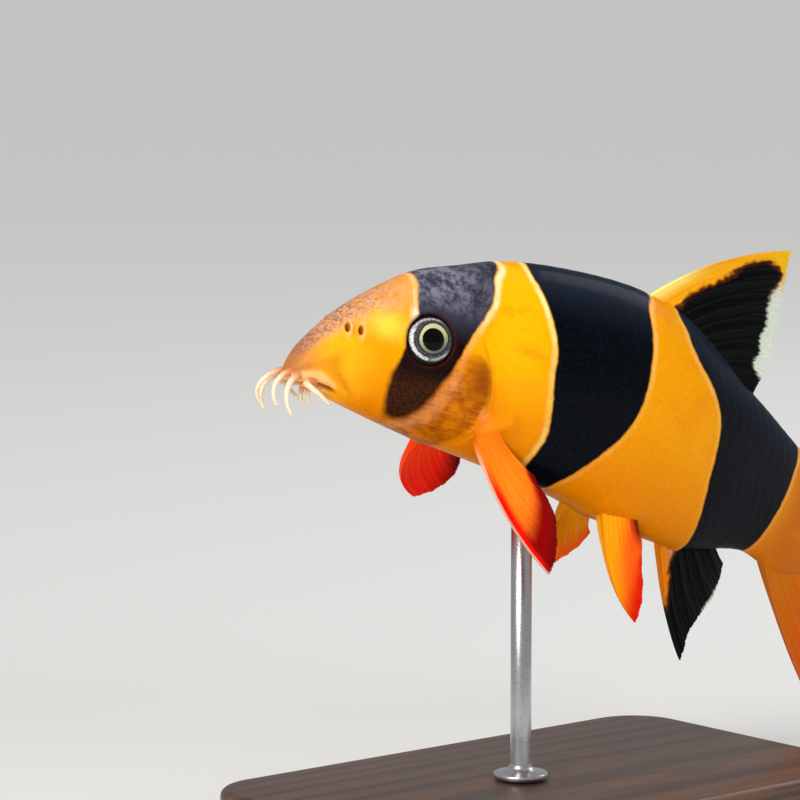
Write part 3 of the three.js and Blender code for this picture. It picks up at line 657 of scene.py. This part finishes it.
def skin_look():
    """Golden orange with three blue-black bands, narrow pale edges, browner cheeks, dusky snout, with
    painted shade low down and in the creases, and painted sheen and highlight on top.
    """
    look = Look("fish_skin", coat_weight=0.075, coat_roughness=0.17, ior=1.06, subsurface_weight=0.1,
                subsurface_radius=(1.0, 0.45, 0.2), subsurface_scale=1.2 * MM)
    place = look.field("place")
    at, _, level = look.split(look.scaled(place, 1 / BODY))
    cheek, dusk, rise = look.split(look.field("zones"))
    crease_shade, flesh, _ = look.split(look.field("crease_shading"))

    cloudy = look.noise(look.stretch(place, 0.6, 1, 1), 0.22, 3)
    grain = look.noise(place, 2.6, 2)
    streaks = look.noise(look.stretch(place, 0.4, 1, 2.0), 1.1, 3)
    speckle = look.noise(place, 1.7, 4, 0.7)
    patches = look.noise(place, 0.5, 3)

    brown = look.blend((184, 100, 8), (136, 60, 4), streaks.above(0.3, 0.7))
    behind_eye = at.near(0.248, 0.035) * level.near(-0.015, 0.06) * cheek.above(0, 0.3)
    # Pink on the top of the snout: partly its own tint, partly a painted highlight where light falls from
    # above.
    blush_and_highlight = rise.above(0.45, 0.9) * at.above(0.16, 0.12) * patches.above(0.25, 0.65)
    grey = look.blend((190, 142, 120), (96, 76, 80), speckle.above(0.38, 0.66))
    # The gold is darker below the middle of the side, and the bright panel behind the gills keeps to its
    # upper part: partly the fish's own deeper belly orange, partly painted shade low on the body.
    skin = look.painted(
        (218, 124, 1),
        ((228, 148, 1), rise.above(-1, 0.1)),
        ((250, 174, 3), at.near(0.3, 0.1) * rise.above(-0.6, 0.3)),
        ((188, 98, 2), at.above(0.84, 0.96)),
        ((252, 164, 20), at.above(0.12, 0.06)),
        ((224, 122, 4), cloudy.above(0.5, 0.75) * 0.5),
        ((255, 196, 62), at.near(0.11, 0.04) * level.near(0.03, 0.03)),
        (brown, cheek * (0.5 + patches.above(0.35, 0.6) * 0.5)),
        ((138, 64, 6), behind_eye * (0.7 + streaks * 0.5)),
        ((236, 172, 128), blush_and_highlight * 0.7),
        (grey, dusk * speckle.above(0.3, 0.55) * 0.85),
        ((150, 92, 66), at.above(0.05, 0) * 0.8),
    )

    wobble = (look.noise(place, 0.7, 3) - 0.5) * 0.5
    edges = [band + wobble for band in look.split(look.field("bands"))]
    edges[0] = edges[0] * (1 - level.above(0.01, -0.03) * 0.6)
    uneven = 0.55 + look.noise(place, 0.35, 2).above(0.3, 0.6) * 0.45
    pales = look.split(look.field("pale"))
    lines = [edge.near(-0.56, 0.82) * pale * uneven for edge, pale in zip(edges, pales)]
    front_side = at.above(0.2, 0.17)
    lines[0] = lines[0] * (1 - front_side * edges[0].above(-0.5, -0.8) * 0.75)
    cream = look.blend((220, 180, 88), (248, 226, 150), rise.above(0, 0.5))
    pink = look.blend((228, 156, 106), (250, 222, 168), rise.above(0, 0.5))
    pink = look.blend(pink, (246, 196, 146), front_side * 0.8)
    glint = at.near(0.146, 0.011) * level.near(0.047, 0.02)
    skin = look.painted(skin, *zip((pink, cream, cream), lines), ((244, 226, 200), glint * 0.9))

    # The top of the first band turns slate with lighter speckles: partly the fish's own dusky-blue
    # iridescence, partly a painted sheen where light falls on the back.
    mottled_sheen = (speckle * 0.45 + patches * 0.55).above(0.4, 0.62) * level.above(0.045, 0.1)
    slate = look.blend((52, 54, 68), (126, 124, 140), mottled_sheen)
    slate = look.blend(slate, (30, 28, 40), at.above(0.19, 0.27) * 0.7)
    ink = look.blend((2, 4, 9), (8, 13, 22), grain.above(0.4, 0.7))
    # The dark bands turn lighter blue-grey towards the back: partly their own tint, partly a painted
    # sheen from the light above.
    blue_black_with_sheen = look.blend(ink, (26, 36, 52), rise.above(0.45, 1) * 0.7)
    front_dark = look.painted(
        (62, 30, 8),
        ((36, 15, 10), grain.above(0.35, 0.65)),
        ((12, 4, 6), level.above(-0.045, -0.012) * 0.85),
        (slate, level.above(0.02, 0.07)),
    )
    inside = [edge.above(-0.25, 0.25) for edge in edges]
    shoulder = at.near(0.276, 0.026) * level.near(-0.07, 0.024)
    spot = at.near(0.268, 0.012) * level.near(-0.056, 0.012)
    skin = look.painted(
        skin,
        *zip((front_dark, blue_black_with_sheen, blue_black_with_sheen), inside),
        ((244, 190, 120), flesh * 0.75),
        ((250, 132, 34), shoulder * (0.55 + patches * 0.5)),
        ((252, 186, 128), spot * patches.above(0.3, 0.6) * 0.7),
        # Painted shade in the creases: the mouth groove, the fold outside the lips, the ring round the
        # eye and the nostril pits.
        ((58, 22, 10), crease_shade * 0.9),
    )
    scales = look.cells(look.stretch(place, 0.8, 1, 1), 2.3)
    skin = look.scaled(skin, 0.92 + scales * 0.12 + (grain - 0.5) * 0.2)
    normal = look.raised(look.noise(place, 5.5, 3), 0.02, look.raised(scales, 0.016))
    return look.finish(base_color=skin, roughness=0.28 + grain * 0.16, normal=normal)


def make_skin():
    points, shading_and_flesh, around = skin_points()
    world, faces = loft(placed(points).reshape(-1, around, 3))
    straight = np.vstack([points, points[:around].mean(0), points[-around:].mean(0)])
    fields = markings(straight)
    fields["crease_shading"][: len(points)] = shading_and_flesh
    make_piece("skin", world, faces, skin_look(), ("head", "torso", "tail_stalk"), fields)


# Eyes, painted by millimetres from the middle of the pupil


def eye_look():
    """Black pupil, cream-gold ring with a painted highlight at its upper front, slate iris with a silver
    crescent below and in front, dark rim.
    """
    look = Look("eye", coat_weight=0.22, coat_roughness=0.02, roughness=0.34, ior=1.08)
    across, up, away = look.split(look.field("ring"))
    fibres = look.noise(look.stretch(look.field("ring"), 1, 1, 0.3), 4, 3)
    edge = away + (look.noise(look.field("ring"), 2.2, 3) - 0.5) * 0.16 + up * up * 0.03
    crescent = (across * -0.8 - up * 0.6).above(0.7, 2.1) * edge.near(3.22, 0.42).above(0.1, 0.7)
    rear_arc = (across * 0.5 - up * 0.85).above(2.2, 2.9) * edge.near(3.16, 0.4) * 0.7
    upper_arc = (up * 0.85 - across * 0.5).above(1.4, 2.6) * edge.near(3.34, 0.3) * 0.75
    notch = across.near(0.1, 0.42) * up.above(-2, -2.7)
    bright = look.most(look.most(crescent, rear_arc) * (1 - notch), upper_arc)
    silver = look.blend((128, 126, 128), (206, 205, 202), fibres.above(0.3, 0.6))
    # The ring's own cream-gold, paler towards its upper front as a painted highlight.
    ring = look.blend((98, 96, 90), (184, 180, 130), (up * 0.8 - across * 0.3).above(-1.8, 1.4))
    ring_edge = edge - (up * 0.8 + across * 0.45).above(-0.6, 2.2) * 0.4
    iris = look.painted(
        (34, 36, 44),
        ((78, 80, 84), fibres.above(0.35, 0.65)),
        (silver, bright),
        (ring, ring_edge.above(2.26, 2.12)),
        ((22, 22, 28), ring_edge.near(2.32, 0.2) * 0.85),
        ((1, 1, 2), edge.above(1.84, 1.72)),
        ((14, 10, 11), edge.above(3.45, 3.62)),
    )
    return look.finish(base_color=iris)


def make_eye(side, word, material):
    """A shallow dome with the lens standing a little proud in the pupil."""
    point, back, up, out = frame_on_body(EYE_X, EYE_Z, side)
    rings, sides, pole_gap, lens_radius, lens_rise = 48, 96, 0.002, 1.72, 0.32
    angle = math.pi * np.linspace(pole_gap, 1 - pole_gap, rings + 1)
    radius = EYE_RADIUS * np.sin(angle)
    lens = lens_rise * np.sqrt(np.clip(1 - (radius / lens_radius) ** 2, 0, 1)) * (angle > math.pi / 2)
    local, faces = turned(zip(radius, lens - EYE_DEPTH * np.cos(angle) - EYE_SUNK), sides)
    if side > 0:
        faces = [face[::-1] for face in faces]
    world = placed(point + local @ np.array([back, up, out]))
    ring = np.column_stack([local[:, :2], np.hypot(local[:, 0], local[:, 1])])
    make_piece("eye_" + word + "_ball", world, faces, material, ("eye_" + word,), {"ring": ring})


# Barbels: radius and points of each on the right side

BARBELS = {
    "rostral_inner": (0.52, [
        (1.8, 0.7, -5.9), (-0.5, 1.3, -6.7), (-2.0, 2.0, -8.3), (-2.2, 2.4, -10.0), (-1.4, 2.5, -11.4),
    ]),
    "rostral_outer": (0.55, [
        (2.8, 1.6, -6.0), (0.4, 2.7, -7.0), (-0.7, 3.4, -8.8), (-0.5, 3.8, -10.8), (0.6, 3.9, -12.4),
    ]),
    "maxillary": (0.58, [
        (3.9, 2.6, -6.8), (2.2, 3.5, -7.3), (2.8, 4.2, -7.9), (4.4, 4.5, -8.7), (6.3, 4.4, -9.8),
    ]),
    "mandibular": (0.42, [(4.4, 0.8, -7.0), (4.3, 0.95, -8.9), (4.7, 1.1, -9.9), (5.4, 1.15, -10.7)]),
}


def barbel_look():
    """Creamy white flesh, more orange at its root."""
    look = Look("barbel", coat_weight=0.4, coat_roughness=0.15, roughness=0.35, subsurface_weight=0.3,
                subsurface_radius=(1.0, 0.6, 0.35), subsurface_scale=0.8 * MM)
    along = look.split(look.field("tube"))[0]
    grain = look.noise(look.field("place"), 3.0, 3)
    flesh = look.blend((214, 120, 52), (238, 218, 186), along.above(0.1, 0.45))
    flesh = look.blend(flesh, (190, 150, 110), grain.above(0.5, 0.7) * 0.4)
    normal = look.raised((along * 260).wave() * 0.5 + grain, 0.03)
    return look.finish(base_color=flesh, normal=normal)


def make_barbel(name, radius, points, side, word, material):
    """A soft tapering feeler that grows out of the lip on a wider root."""
    steps, sides, tip_share, root_flare = 40, 20, 0.42, 0.35
    t = np.linspace(0, 1, steps)
    centre = curve_through(np.array(points) * (1, side, 1))(t)
    ahead = unit(np.gradient(centre, axis=0))
    first = unit(np.cross(ahead, (1.0, 0.3, 0.2)))
    second = np.cross(ahead, first)
    round_end = np.sqrt(np.clip((1.02 - t) / 0.06, 0, 1))
    thick = radius * (mix(1, tip_share, t) + root_flare * bump(t, 0.22)) * round_end
    turn = round_turn(sides)[None, :, None]
    section = first[:, None] * np.cos(turn) + second[:, None] * np.sin(turn)
    straight, faces = loft(centre[:, None] + thick[:, None, None] * section)
    along = np.append(np.repeat(t, sides), [0, 1])
    fields = {"place": straight, "tube": np.stack([along, 0 * along, 0 * along], axis=-1)}
    node = "barbel_" + name + "_" + word
    make_piece(node + "_flesh", placed(straight), faces, material, (node,), fields)


# Fins: points of root and tip from front to rear, in shares of the body, and how far the sheet bows


def curved_fin(rays, root, tip, bow, flesh=0.9):
    """What make_fin needs: curves of the root and the tip, and the bow at the front and the rear."""
    front, rear = np.array(bow)

    def bow_at(u):
        return mix(front, rear, u[..., None])

    curves = {"root": curve_through(root), "tip": curve_through(tip), "bow": bow_at}
    return {"rays": rays, "flesh": flesh, **curves}


FINS = {
    "dorsal_fin": curved_fin(
        rays=12, bow=[(-0.008, 0, 0.01), (0, 0, 0.006)],
        root=[(0.519, 0, 0.142), (0.615, 0, 0.12), (0.715, 0, 0.1)],
        tip=[(0.746, 0.012, 0.317), (0.765, 0.006, 0.245), (0.775, 0, 0.17), (0.768, 0, 0.104)],
    ),
    "anal_fin": curved_fin(
        rays=8, bow=[(-0.008, 0, -0.01), (0, 0, -0.002)],
        root=[(0.682, 0, -0.122), (0.742, 0, -0.112), (0.8, 0, -0.092)],
        tip=[(0.864, 0.006, -0.262), (0.853, 0.005, -0.214), (0.87, 0.002, -0.157), (0.862, 0, -0.112)],
    ),
    "pectoral_fin_left": curved_fin(
        rays=11, flesh=1.9, bow=[(-0.017, -0.011, -0.015), (0, -0.012, -0.012)],
        root=[(0.266, -0.048, -0.077), (0.28, -0.052, -0.072), (0.293, -0.054, -0.067)],
        tip=[(0.414, -0.088, -0.243), (0.418, -0.084, -0.217), (0.407, -0.078, -0.165),
             (0.364, -0.07, -0.118)],
    ),
    "pectoral_fin_right": curved_fin(
        rays=11, flesh=1.9, bow=[(-0.024, 0.016, -0.018), (0, 0.01, 0)],
        root=[(0.266, 0.048, -0.077), (0.28, 0.052, -0.072), (0.293, 0.054, -0.067)],
        tip=[(0.367, 0.188, -0.182), (0.392, 0.173, -0.163), (0.4, 0.146, -0.137), (0.38, 0.118, -0.11)],
    ),
    "pelvic_fin_left": curved_fin(
        rays=8, flesh=1.1, bow=[(-0.016, -0.006, -0.022), (0, -0.008, 0)],
        root=[(0.526, -0.026, -0.135), (0.56, -0.03, -0.136), (0.594, -0.03, -0.132)],
        tip=[(0.67, -0.04, -0.262), (0.655, -0.046, -0.236), (0.635, -0.05, -0.205),
             (0.615, -0.05, -0.176)],
    ),
    "pelvic_fin_right": curved_fin(
        rays=8, flesh=1.1, bow=[(-0.012, 0.004, -0.012), (0, 0.008, 0)],
        root=[(0.508, 0.024, -0.136), (0.542, 0.029, -0.137), (0.575, 0.03, -0.134)],
        tip=[(0.61, 0.1, -0.218), (0.624, 0.094, -0.2), (0.636, 0.082, -0.18), (0.634, 0.068, -0.162)],
    ),
}

TAIL_LOBE, TAIL_FORK, TAIL_SWAY, TAIL_TOP, TAIL_BOTTOM = (1.285, 0.212), 1.12, 0.02, 0.086, -0.076


def tail_root(u):
    z = mix(TAIL_TOP, TAIL_BOTTOM, u)
    x = 0.985 - 0.07 * np.minimum(1.4, np.abs(z) / 0.085) ** 3
    return np.stack([x, 0 * z, z], axis=-1)


def tail_tip(u):
    outward = np.abs(2 * u - 1)
    x = mix(TAIL_FORK, TAIL_LOBE[0], outward**1.45)
    z = np.sign(0.5 - u) * TAIL_LOBE[1] * outward**1.05
    return np.stack([x, TAIL_SWAY * outward**2, z], axis=-1)


def tail_bow(u):
    return np.stack([0 * u, 0 * u, 0.01 * np.sign(0.5 - u) * np.abs(2 * u - 1) ** 2], axis=-1)


FINS["tail_fin"] = {"rays": 18, "root": tail_root, "tip": tail_tip, "bow": tail_bow, "flesh": 0.7}

WEB_THICK, RAY_THICK, TIP_THICK, LEADING_RAY = 0.3, 0.85, 0.16, 0.5
SHORTEST_RAY, SCALLOP = 0.988, 0.014  # shares of a fin's length
RIPPLE, CURL = 0.07, 0.25


def branched_ray(u, v, rays):
    """How much of a ray there is at a place of the fin: each ray splits in two, and again in four."""
    off = np.abs(u * rays - np.round(u * rays))
    first_fork = 0.22 * ease((v - 0.42) / 0.5)
    second_fork = 0.1 * ease((v - 0.72) / 0.3)
    branch = np.abs(off - first_fork)
    twig = np.abs(branch - second_fork)
    return bump(twig, mix(0.15, 0.07, v))


def make_fin(name, material, slot, stands_for, rays, root, tip, bow, flesh):
    """A webbed fin: both faces of one thin sheet, its rays raised, its edge scalloped between them."""
    per_ray, rows = 14, 84
    columns = per_ray * rays + 1
    u, v = np.meshgrid(np.linspace(0, 1, columns), np.linspace(0, 1, rows), indexing="ij")
    draw = np.random.default_rng(len(name) * 7 + rays)
    lengths = draw.uniform(SHORTEST_RAY, 1.0, rays + 1)
    edge = np.interp(u * rays, np.arange(rays + 1), lengths)
    edge = edge - SCALLOP * (1 - branched_ray(u, np.ones_like(v), rays))
    v = v * edge

    def sheet(u, v):
        line = mix(root(u), tip(u), v[..., None])
        return share(line + bow(u) * (4 * v * (1 - v))[..., None])

    across = sheet(np.minimum(1, u + 0.01), v) - sheet(np.maximum(0, u - 0.01), v)
    along = sheet(u, np.minimum(1, v + 0.02)) - sheet(u, np.maximum(0, v - 0.02))
    out = unit(np.cross(across, along))
    ray = branched_ray(u, v, rays)
    web = mix(WEB_THICK, TIP_THICK, v)
    risen = ease(v / 0.3)
    ridge = (mix(RAY_THICK, TIP_THICK * 1.5, v) - web) * ray * mix(0.5, 1, risen)
    lead = LEADING_RAY * bump(u * rays, 0.35) * (1 - v) * ease(v / 0.25)
    round_edge = np.sqrt(np.clip((1.03 - v / edge) / 0.06, 0.2, 1))
    half = (web + ridge + lead + flesh * (1 - risen)) / 2 * round_edge
    ripple = RIPPLE * np.cos(math.pi * u * rays) * ease(v / 0.4) + CURL * v**2 * np.sin(5 * u + 3 * v)
    middle = sheet(u, v) + out * ripple[..., None]
    sides = [middle + out * half[..., None], middle - out * half[..., None]]
    straight = np.concatenate([side.reshape(-1, 3) for side in sides])
    count = columns * rows
    faces = [face[::-1] for face in grid_faces(columns, rows, closed=False)]
    faces += grid_faces(columns, rows, closed=False, start=count)
    grid = np.arange(count).reshape(columns, rows)
    border = np.concatenate([grid[:, 0], grid[-1, 1:], grid[-2::-1, -1], grid[0, -2:0:-1]])
    after = np.roll(border, -1)
    faces += np.stack([border, after, after + count, border + count], axis=-1).tolist()
    fields = markings(straight)
    fields["fin"] = np.tile(np.stack([u, v, ray], axis=-1).reshape(-1, 3), (2, 1))
    make_piece(name + "_rays", placed(straight), faces, material, stands_for, fields)


def fin_look(name, paint, clear=None):
    """A wet, thin fin: paint(look, u, v, ray) gives its colour, and clear its see-through part."""
    look = Look(name, coat_weight=0.05, coat_roughness=0.15, roughness=0.36, ior=1.07,
                subsurface_weight=0.35, subsurface_radius=(1.0, 0.4, 0.2), subsurface_scale=1.2 * MM)
    u, v, ray = look.split(look.field("fin"))
    grain = look.noise(look.field("place"), 2.4, 3)
    colour = look.scaled(paint(look, u, v, ray), 0.93 + ray * 0.1 + (grain - 0.5) * 0.2)
    joints = (v * 230).wave() * ray * v.above(0.25, 0.5)
    linked = {"base_color": colour, "normal": look.raised(joints * 0.5 + grain * 0.6, 0.04)}
    if clear:
        linked["alpha"] = clear(look, u, v, ray)
    return look.finish(**linked)


def dark_fin_paint(look, u, v, ray):
    """Black inside the patch drawn on the fish's side, orange in front of it, pale behind it."""
    place = look.field("place")
    upper = look.split(place)[2].above(0.0, share(0.1))
    inside = look.split(look.field("bands"))[2]
    frayed = inside + (look.noise(place, 0.8, 3) - 0.5) * 1.2 + (ray - 0.4) * 0.3
    return look.painted(
        (224, 128, 12),
        ((238, 168, 18), upper),
        ((232, 124, 16), ray.above(0.2, 0.8) * 0.3),
        ((254, 230, 120), u.above(0.09, 0) * v.above(0.5, 0.2) * upper),
        ((216, 176, 22), v.above(0.7, 1) * 0.7),
        ((206, 222, 200), u.above(0.12, 0.32) * v.above(0.6, 0.8)),
        ((96, 38, 8), frayed.above(-0.9, -0.1) * u.above(0.5, 0.2)),
        ((4, 6, 7), frayed.above(-0.5, 0.5)),
    )


def hind_edge_clear(look, u, v, ray):
    """The hind edge outside the black lets light through, less so on the rays."""
    inside = look.split(look.field("bands"))[2]
    thin = inside.above(0.7, -0.9) * u.above(0.12, 0.32)
    return 1 - thin * (0.72 - ray * 0.4) - thin * v.above(0.85, 1) * 0.15


def pectoral_paint(look, u, v, ray):
    """Orange from the root, red along the front, dark red along the hind edge and at the tip as painted
    shade where the fin folds away, pale in front.
    """
    return look.painted(
        (246, 122, 20),
        ((252, 130, 24), v.above(0.08, 0.24)),
        ((250, 104, 22), v.above(0.4, 0.9)),
        ((238, 16, 8), v.above(0.16, 0.42) * u.above(0.3, 0.08)),
        # Painted shade: darker red over the outer part of the fin and at its tip, where it folds away
        # from the light.
        ((136, 1, 1), v.above(0.6, 0.8) * u.above(0.02, 0.16)),
        ((84, 2, 4), v.above(0.85, 1) * 0.7),
        ((240, 172, 150), u.above(0.03, 0.01) * v.above(0.08, 0.25)),
    )


def far_pectoral_paint(look, u, v, ray):
    """The fin of the right side: bright red, with painted shade making it darker towards its rear."""
    red = look.blend((255, 62, 8), (255, 16, 2), v.above(0.3, 0.8) * 0.85)
    # Painted shade: darker red towards the rear and the tip.
    return look.blend(red, (100, 2, 1), (u * 0.4 + v * 0.6).above(0.56, 0.9))


def pelvic_paint(look, u, v, ray):
    """Golden along the front, orange-red behind, a red tip and a painted shadow at the rear of the root.
    """
    orange = look.blend((254, 160, 12), (250, 92, 20), (v * 0.7 + u * 0.8).above(0.3, 0.85))
    red = look.blend(orange, (228, 26, 2), (v + u * 0.15).above(0.68, 0.98))
    # Painted shadow at the rear of the root, where the body shades the fin.
    return look.blend(red, (84, 18, 6), u.above(0.7, 0.95) * v.above(0.8, 0.3) * 0.9)


def far_pelvic_paint(look, u, v, ray):
    """The fin of the right side: plain golden orange, redder towards its edge."""
    return look.blend((255, 158, 3), (255, 92, 8), v.above(0.4, 1))


def tail_paint(look, u, v, ray):
    """Deep orange, with the end of the third band on its root."""
    orange = look.blend((196, 104, 3), (198, 78, 4), v.above(0.1, 0.9))
    band = look.split(look.field("bands"))[2]
    return look.blend(orange, (6, 8, 10), band.above(-0.25, 0.25))


def make_fins():
    looks = {
        "dorsal_fin": (fin_look("fin_dorsal", dark_fin_paint, hind_edge_clear), "dark_fin"),
        "anal_fin": (fin_look("fin_anal", dark_fin_paint, hind_edge_clear), "dark_fin"),
        "tail_fin": (fin_look("fin_tail", tail_paint), "orange_fin"),
        "pectoral_fin_left": (fin_look("fin_red", pectoral_paint), "red_fin"),
        "pectoral_fin_right": (fin_look("fin_far_red", far_pectoral_paint), "red_fin"),
        "pelvic_fin_left": (fin_look("fin_warm", pelvic_paint), "red_fin"),
        "pelvic_fin_right": (fin_look("fin_far_warm", far_pelvic_paint), "red_fin"),
    }
    for name, shape in FINS.items():
        nodes = ("tail_fin_upper", "tail_fin_lower") if name == "tail_fin" else (name,)
        make_fin(name, *looks[name], nodes, **shape)


# Stand


def wood_look():
    """Dark wood with growth rings that show on the ends as arcs, and fine pores."""
    look = Look("stand_wood", coat_weight=0.25, coat_roughness=0.3)
    place = look.node("ShaderNodeTexCoord", {}, output="Object")
    grain = look.noise(look.stretch(place, 60, 420, 420), 1.0, 5, 0.6)
    pores = look.noise(look.stretch(place, 300, 4200, 4200), 1.0, 2)
    from_heart = look.node("ShaderNodeVectorMath", {0: place, 1: (0, 0.012, 0.045)}, {"operation": "ADD"})
    drawn_out = look.stretch(from_heart, 25, 160, 160)
    inputs = {"Vector": drawn_out, "Scale": 0.9, "Distortion": 2.5, "Detail": 2}
    settings = {"wave_type": "RINGS", "rings_direction": "X"}
    rings = look.node("ShaderNodeTexWave", inputs, settings, output=1)
    wood = look.painted(
        (64, 42, 30),
        ((94, 63, 42), grain.above(0.25, 0.75)),
        ((44, 28, 20), rings.above(0.5, 0.95) * 0.7),
        ((34, 22, 16), pores.above(0.56, 0.7) * 0.6),
    )
    return look.finish(base_color=wood, roughness=0.4 + grain * 0.2, normal=look.raised(pores, 0.08))


def metal_look():
    """Steel, brushed round the rod."""
    look = Look("stand_metal", metallic=1.0)
    place = look.node("ShaderNodeTexCoord", {}, output="Object")
    brushed = look.noise(look.stretch(place, 900, 900, 14000), 1.0, 2)
    metal = look.blend((176, 178, 182), (206, 207, 210), brushed)
    normal = look.raised(brushed, 0.006)
    return look.finish(base_color=metal, roughness=0.22 + brushed * 0.14, normal=normal)


def make_base():
    """A slab with round corners and softened edges."""
    low, high = (np.array(corner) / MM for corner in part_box("stand_base"))
    corner_radius, softened, steps, edge_steps = 9, 1.2, 24, 7
    middle, half = (low + high) / 2, (high - low) / 2
    quarter = np.linspace(0, math.pi / 2, steps)
    turn = np.concatenate([quarter + i * math.pi / 2 for i in range(4)])
    out = np.stack([np.cos(turn), np.sin(turn)], axis=-1)
    corners = np.repeat([(1, 1), (-1, 1), (-1, -1), (1, -1)], steps, axis=0)
    centres = middle[:2] + corners * (half[:2] - corner_radius)
    over_edge = np.linspace(0, math.pi / 2, edge_steps)
    edge = softened * (1 - np.stack([np.cos(over_edge), np.sin(over_edge)], axis=-1))
    levels = [(low[2] + rise, inset) for rise, inset in edge]
    levels += [(high[2] - rise, inset) for rise, inset in edge[::-1]]
    rows = [
        np.column_stack([centres + out * (corner_radius - inset), np.full(len(turn), z)])
        for z, inset in levels
    ]
    points, faces = loft(rows)
    make_piece("stand_base_block", points, faces, wood_look(), ("stand_base",))


def make_rod():
    """A turned steel rod on a small foot, its top let into the belly."""
    low, high = (np.array(corner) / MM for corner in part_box("stand_rod"))
    foot, rod, into_belly, pole_gap = (high[0] - low[0]) / 2, 1.6, 0.35, 0.05
    foot_edge, rim, hollow_height, plain_from = 0.9, 0.2, 1.4, 6
    top = high[2] - low[2] + into_belly
    profile = [(pole_gap, 0), (foot * 0.9, 0), (foot - rim, 0.05)]
    profile += [(foot, 0.25), (foot, 0.6), (foot - 0.1, 0.85)]
    for angle in np.linspace(0, math.pi / 2, 10):
        radius = foot - rim - (foot - rim - rod) * math.sin(angle)
        profile.append((radius, foot_edge + hollow_height * (1 - math.cos(angle))))
    profile += [(rod, plain_from), (rod, top), (pole_gap, top)]
    points, faces = turned(profile, 64)
    middle = (low + high) / 2
    points += (middle[0], middle[1], low[2])
    make_piece("stand_rod_turned", points, faces, metal_look(), ("stand_rod",))


# Studio

# Soft square lights: place to the picture's right, towards the camera and up, size, power, colour.
PANELS = {
    "key": ((-380, 520, 420), 360, 1.8, (1.0, 0.97, 0.93)),
    "fill": ((560, 420, 260), 360, 1.8, (1.0, 0.98, 0.95)),
    "low": ((-60, 450, -28), 56, 0.7, (1.0, 0.98, 0.95)),
    "rim": ((480, -420, 420), 300, 1.2, (0.95, 0.97, 1.0)),
}
SHINING = ("key", "rim")  # the panels that show in reflections
SKY_FROM, SKY_WIDTH, SKY_POWER, ROOM_POWER = (-0.45, 0.55, 0.7), 28, 1.55, 0.4
FLOOR_REACH = 9000.0


def make_floor():
    look = Look("studio_floor", roughness=0.7, base_color=rgb(224, 224, 222))
    corners = np.array([(-1, -1, 0), (1, -1, 0), (1, 1, 0), (-1, 1, 0)]) * FLOOR_REACH
    mesh = bpy.data.meshes.new("floor")
    mesh.from_pydata((corners * MM).tolist(), [], [[0, 1, 2, 3]])
    mesh.materials.append(look.material)
    add_object("floor", mesh)


def camera_axes():
    """The camera's directions in the model's frame: to the picture's right, and back from the fish."""
    azimuth, elevation = math.radians(VIEW_AZIMUTH), math.radians(VIEW_ELEVATION)
    right = Vector((math.cos(azimuth), math.sin(azimuth), 0))
    level_back = Vector((math.sin(azimuth), -math.cos(azimuth), 0))
    back = level_back * math.cos(elevation) + Vector((0, 0, math.sin(elevation)))
    return right, level_back, back


def add_light(name, kind, power, place):
    """A light aimed at the fish, its place given from the fish as the camera sees it."""
    to_right, level_back, _ = camera_axes()
    data = bpy.data.lights.new(name, kind)
    data.energy = power
    light = add_object(name, data)
    centre = Vector(SNOUT) + to_right * 45 + Vector((0, 0, -10))
    offset = to_right * place[0] + level_back * place[1] + Vector((0, 0, place[2]))
    light.location = (centre + offset) * MM
    light.rotation_euler = offset.to_track_quat("Z", "Y").to_euler()
    return light


def make_studio():
    make_floor()
    sky = add_light("sky", "SUN", SKY_POWER, SKY_FROM)
    sky.data.angle = math.radians(SKY_WIDTH)
    for name, (place, size, power, colour) in PANELS.items():
        panel = add_light(name, "AREA", power, place)
        panel.data.size = size * MM
        panel.data.color = colour
        panel.visible_glossy = name in SHINING
    world = bpy.data.worlds.new("studio")
    world.use_nodes = True
    background = world.node_tree.nodes["Background"]
    background.inputs["Color"].default_value = (1.0, 1.0, 1.0, 1.0)
    background.inputs["Strength"].default_value = ROOM_POWER
    bpy.context.scene.world = world
    bpy.context.scene.view_settings.view_transform = "Standard"


def make_camera():
    data = bpy.data.cameras.new("camera")
    data.lens = LENS
    data.sensor_width = SENSOR
    data.clip_start = 0.01
    camera = add_object("camera", data)
    right, _, back = camera_axes()
    target = Vector(SNOUT) + right * VIEW_TARGET[0] + Vector((0, 0, VIEW_TARGET[1]))
    camera.location = (target + back * VIEW_DISTANCE) * MM
    camera.rotation_euler = back.to_track_quat("Z", "Y").to_euler()
    bpy.context.scene.camera = camera


make_camera()
make_skin()
eye_material = eye_look()
barbel_material = barbel_look()
for side, word in ((-1, "left"), (1, "right")):
    make_eye(side, word, eye_material)
    for name, (radius, points) in BARBELS.items():
        make_barbel(name, radius, points, side, word, barbel_material)
make_fins()
make_base()
make_rod()
make_studio()
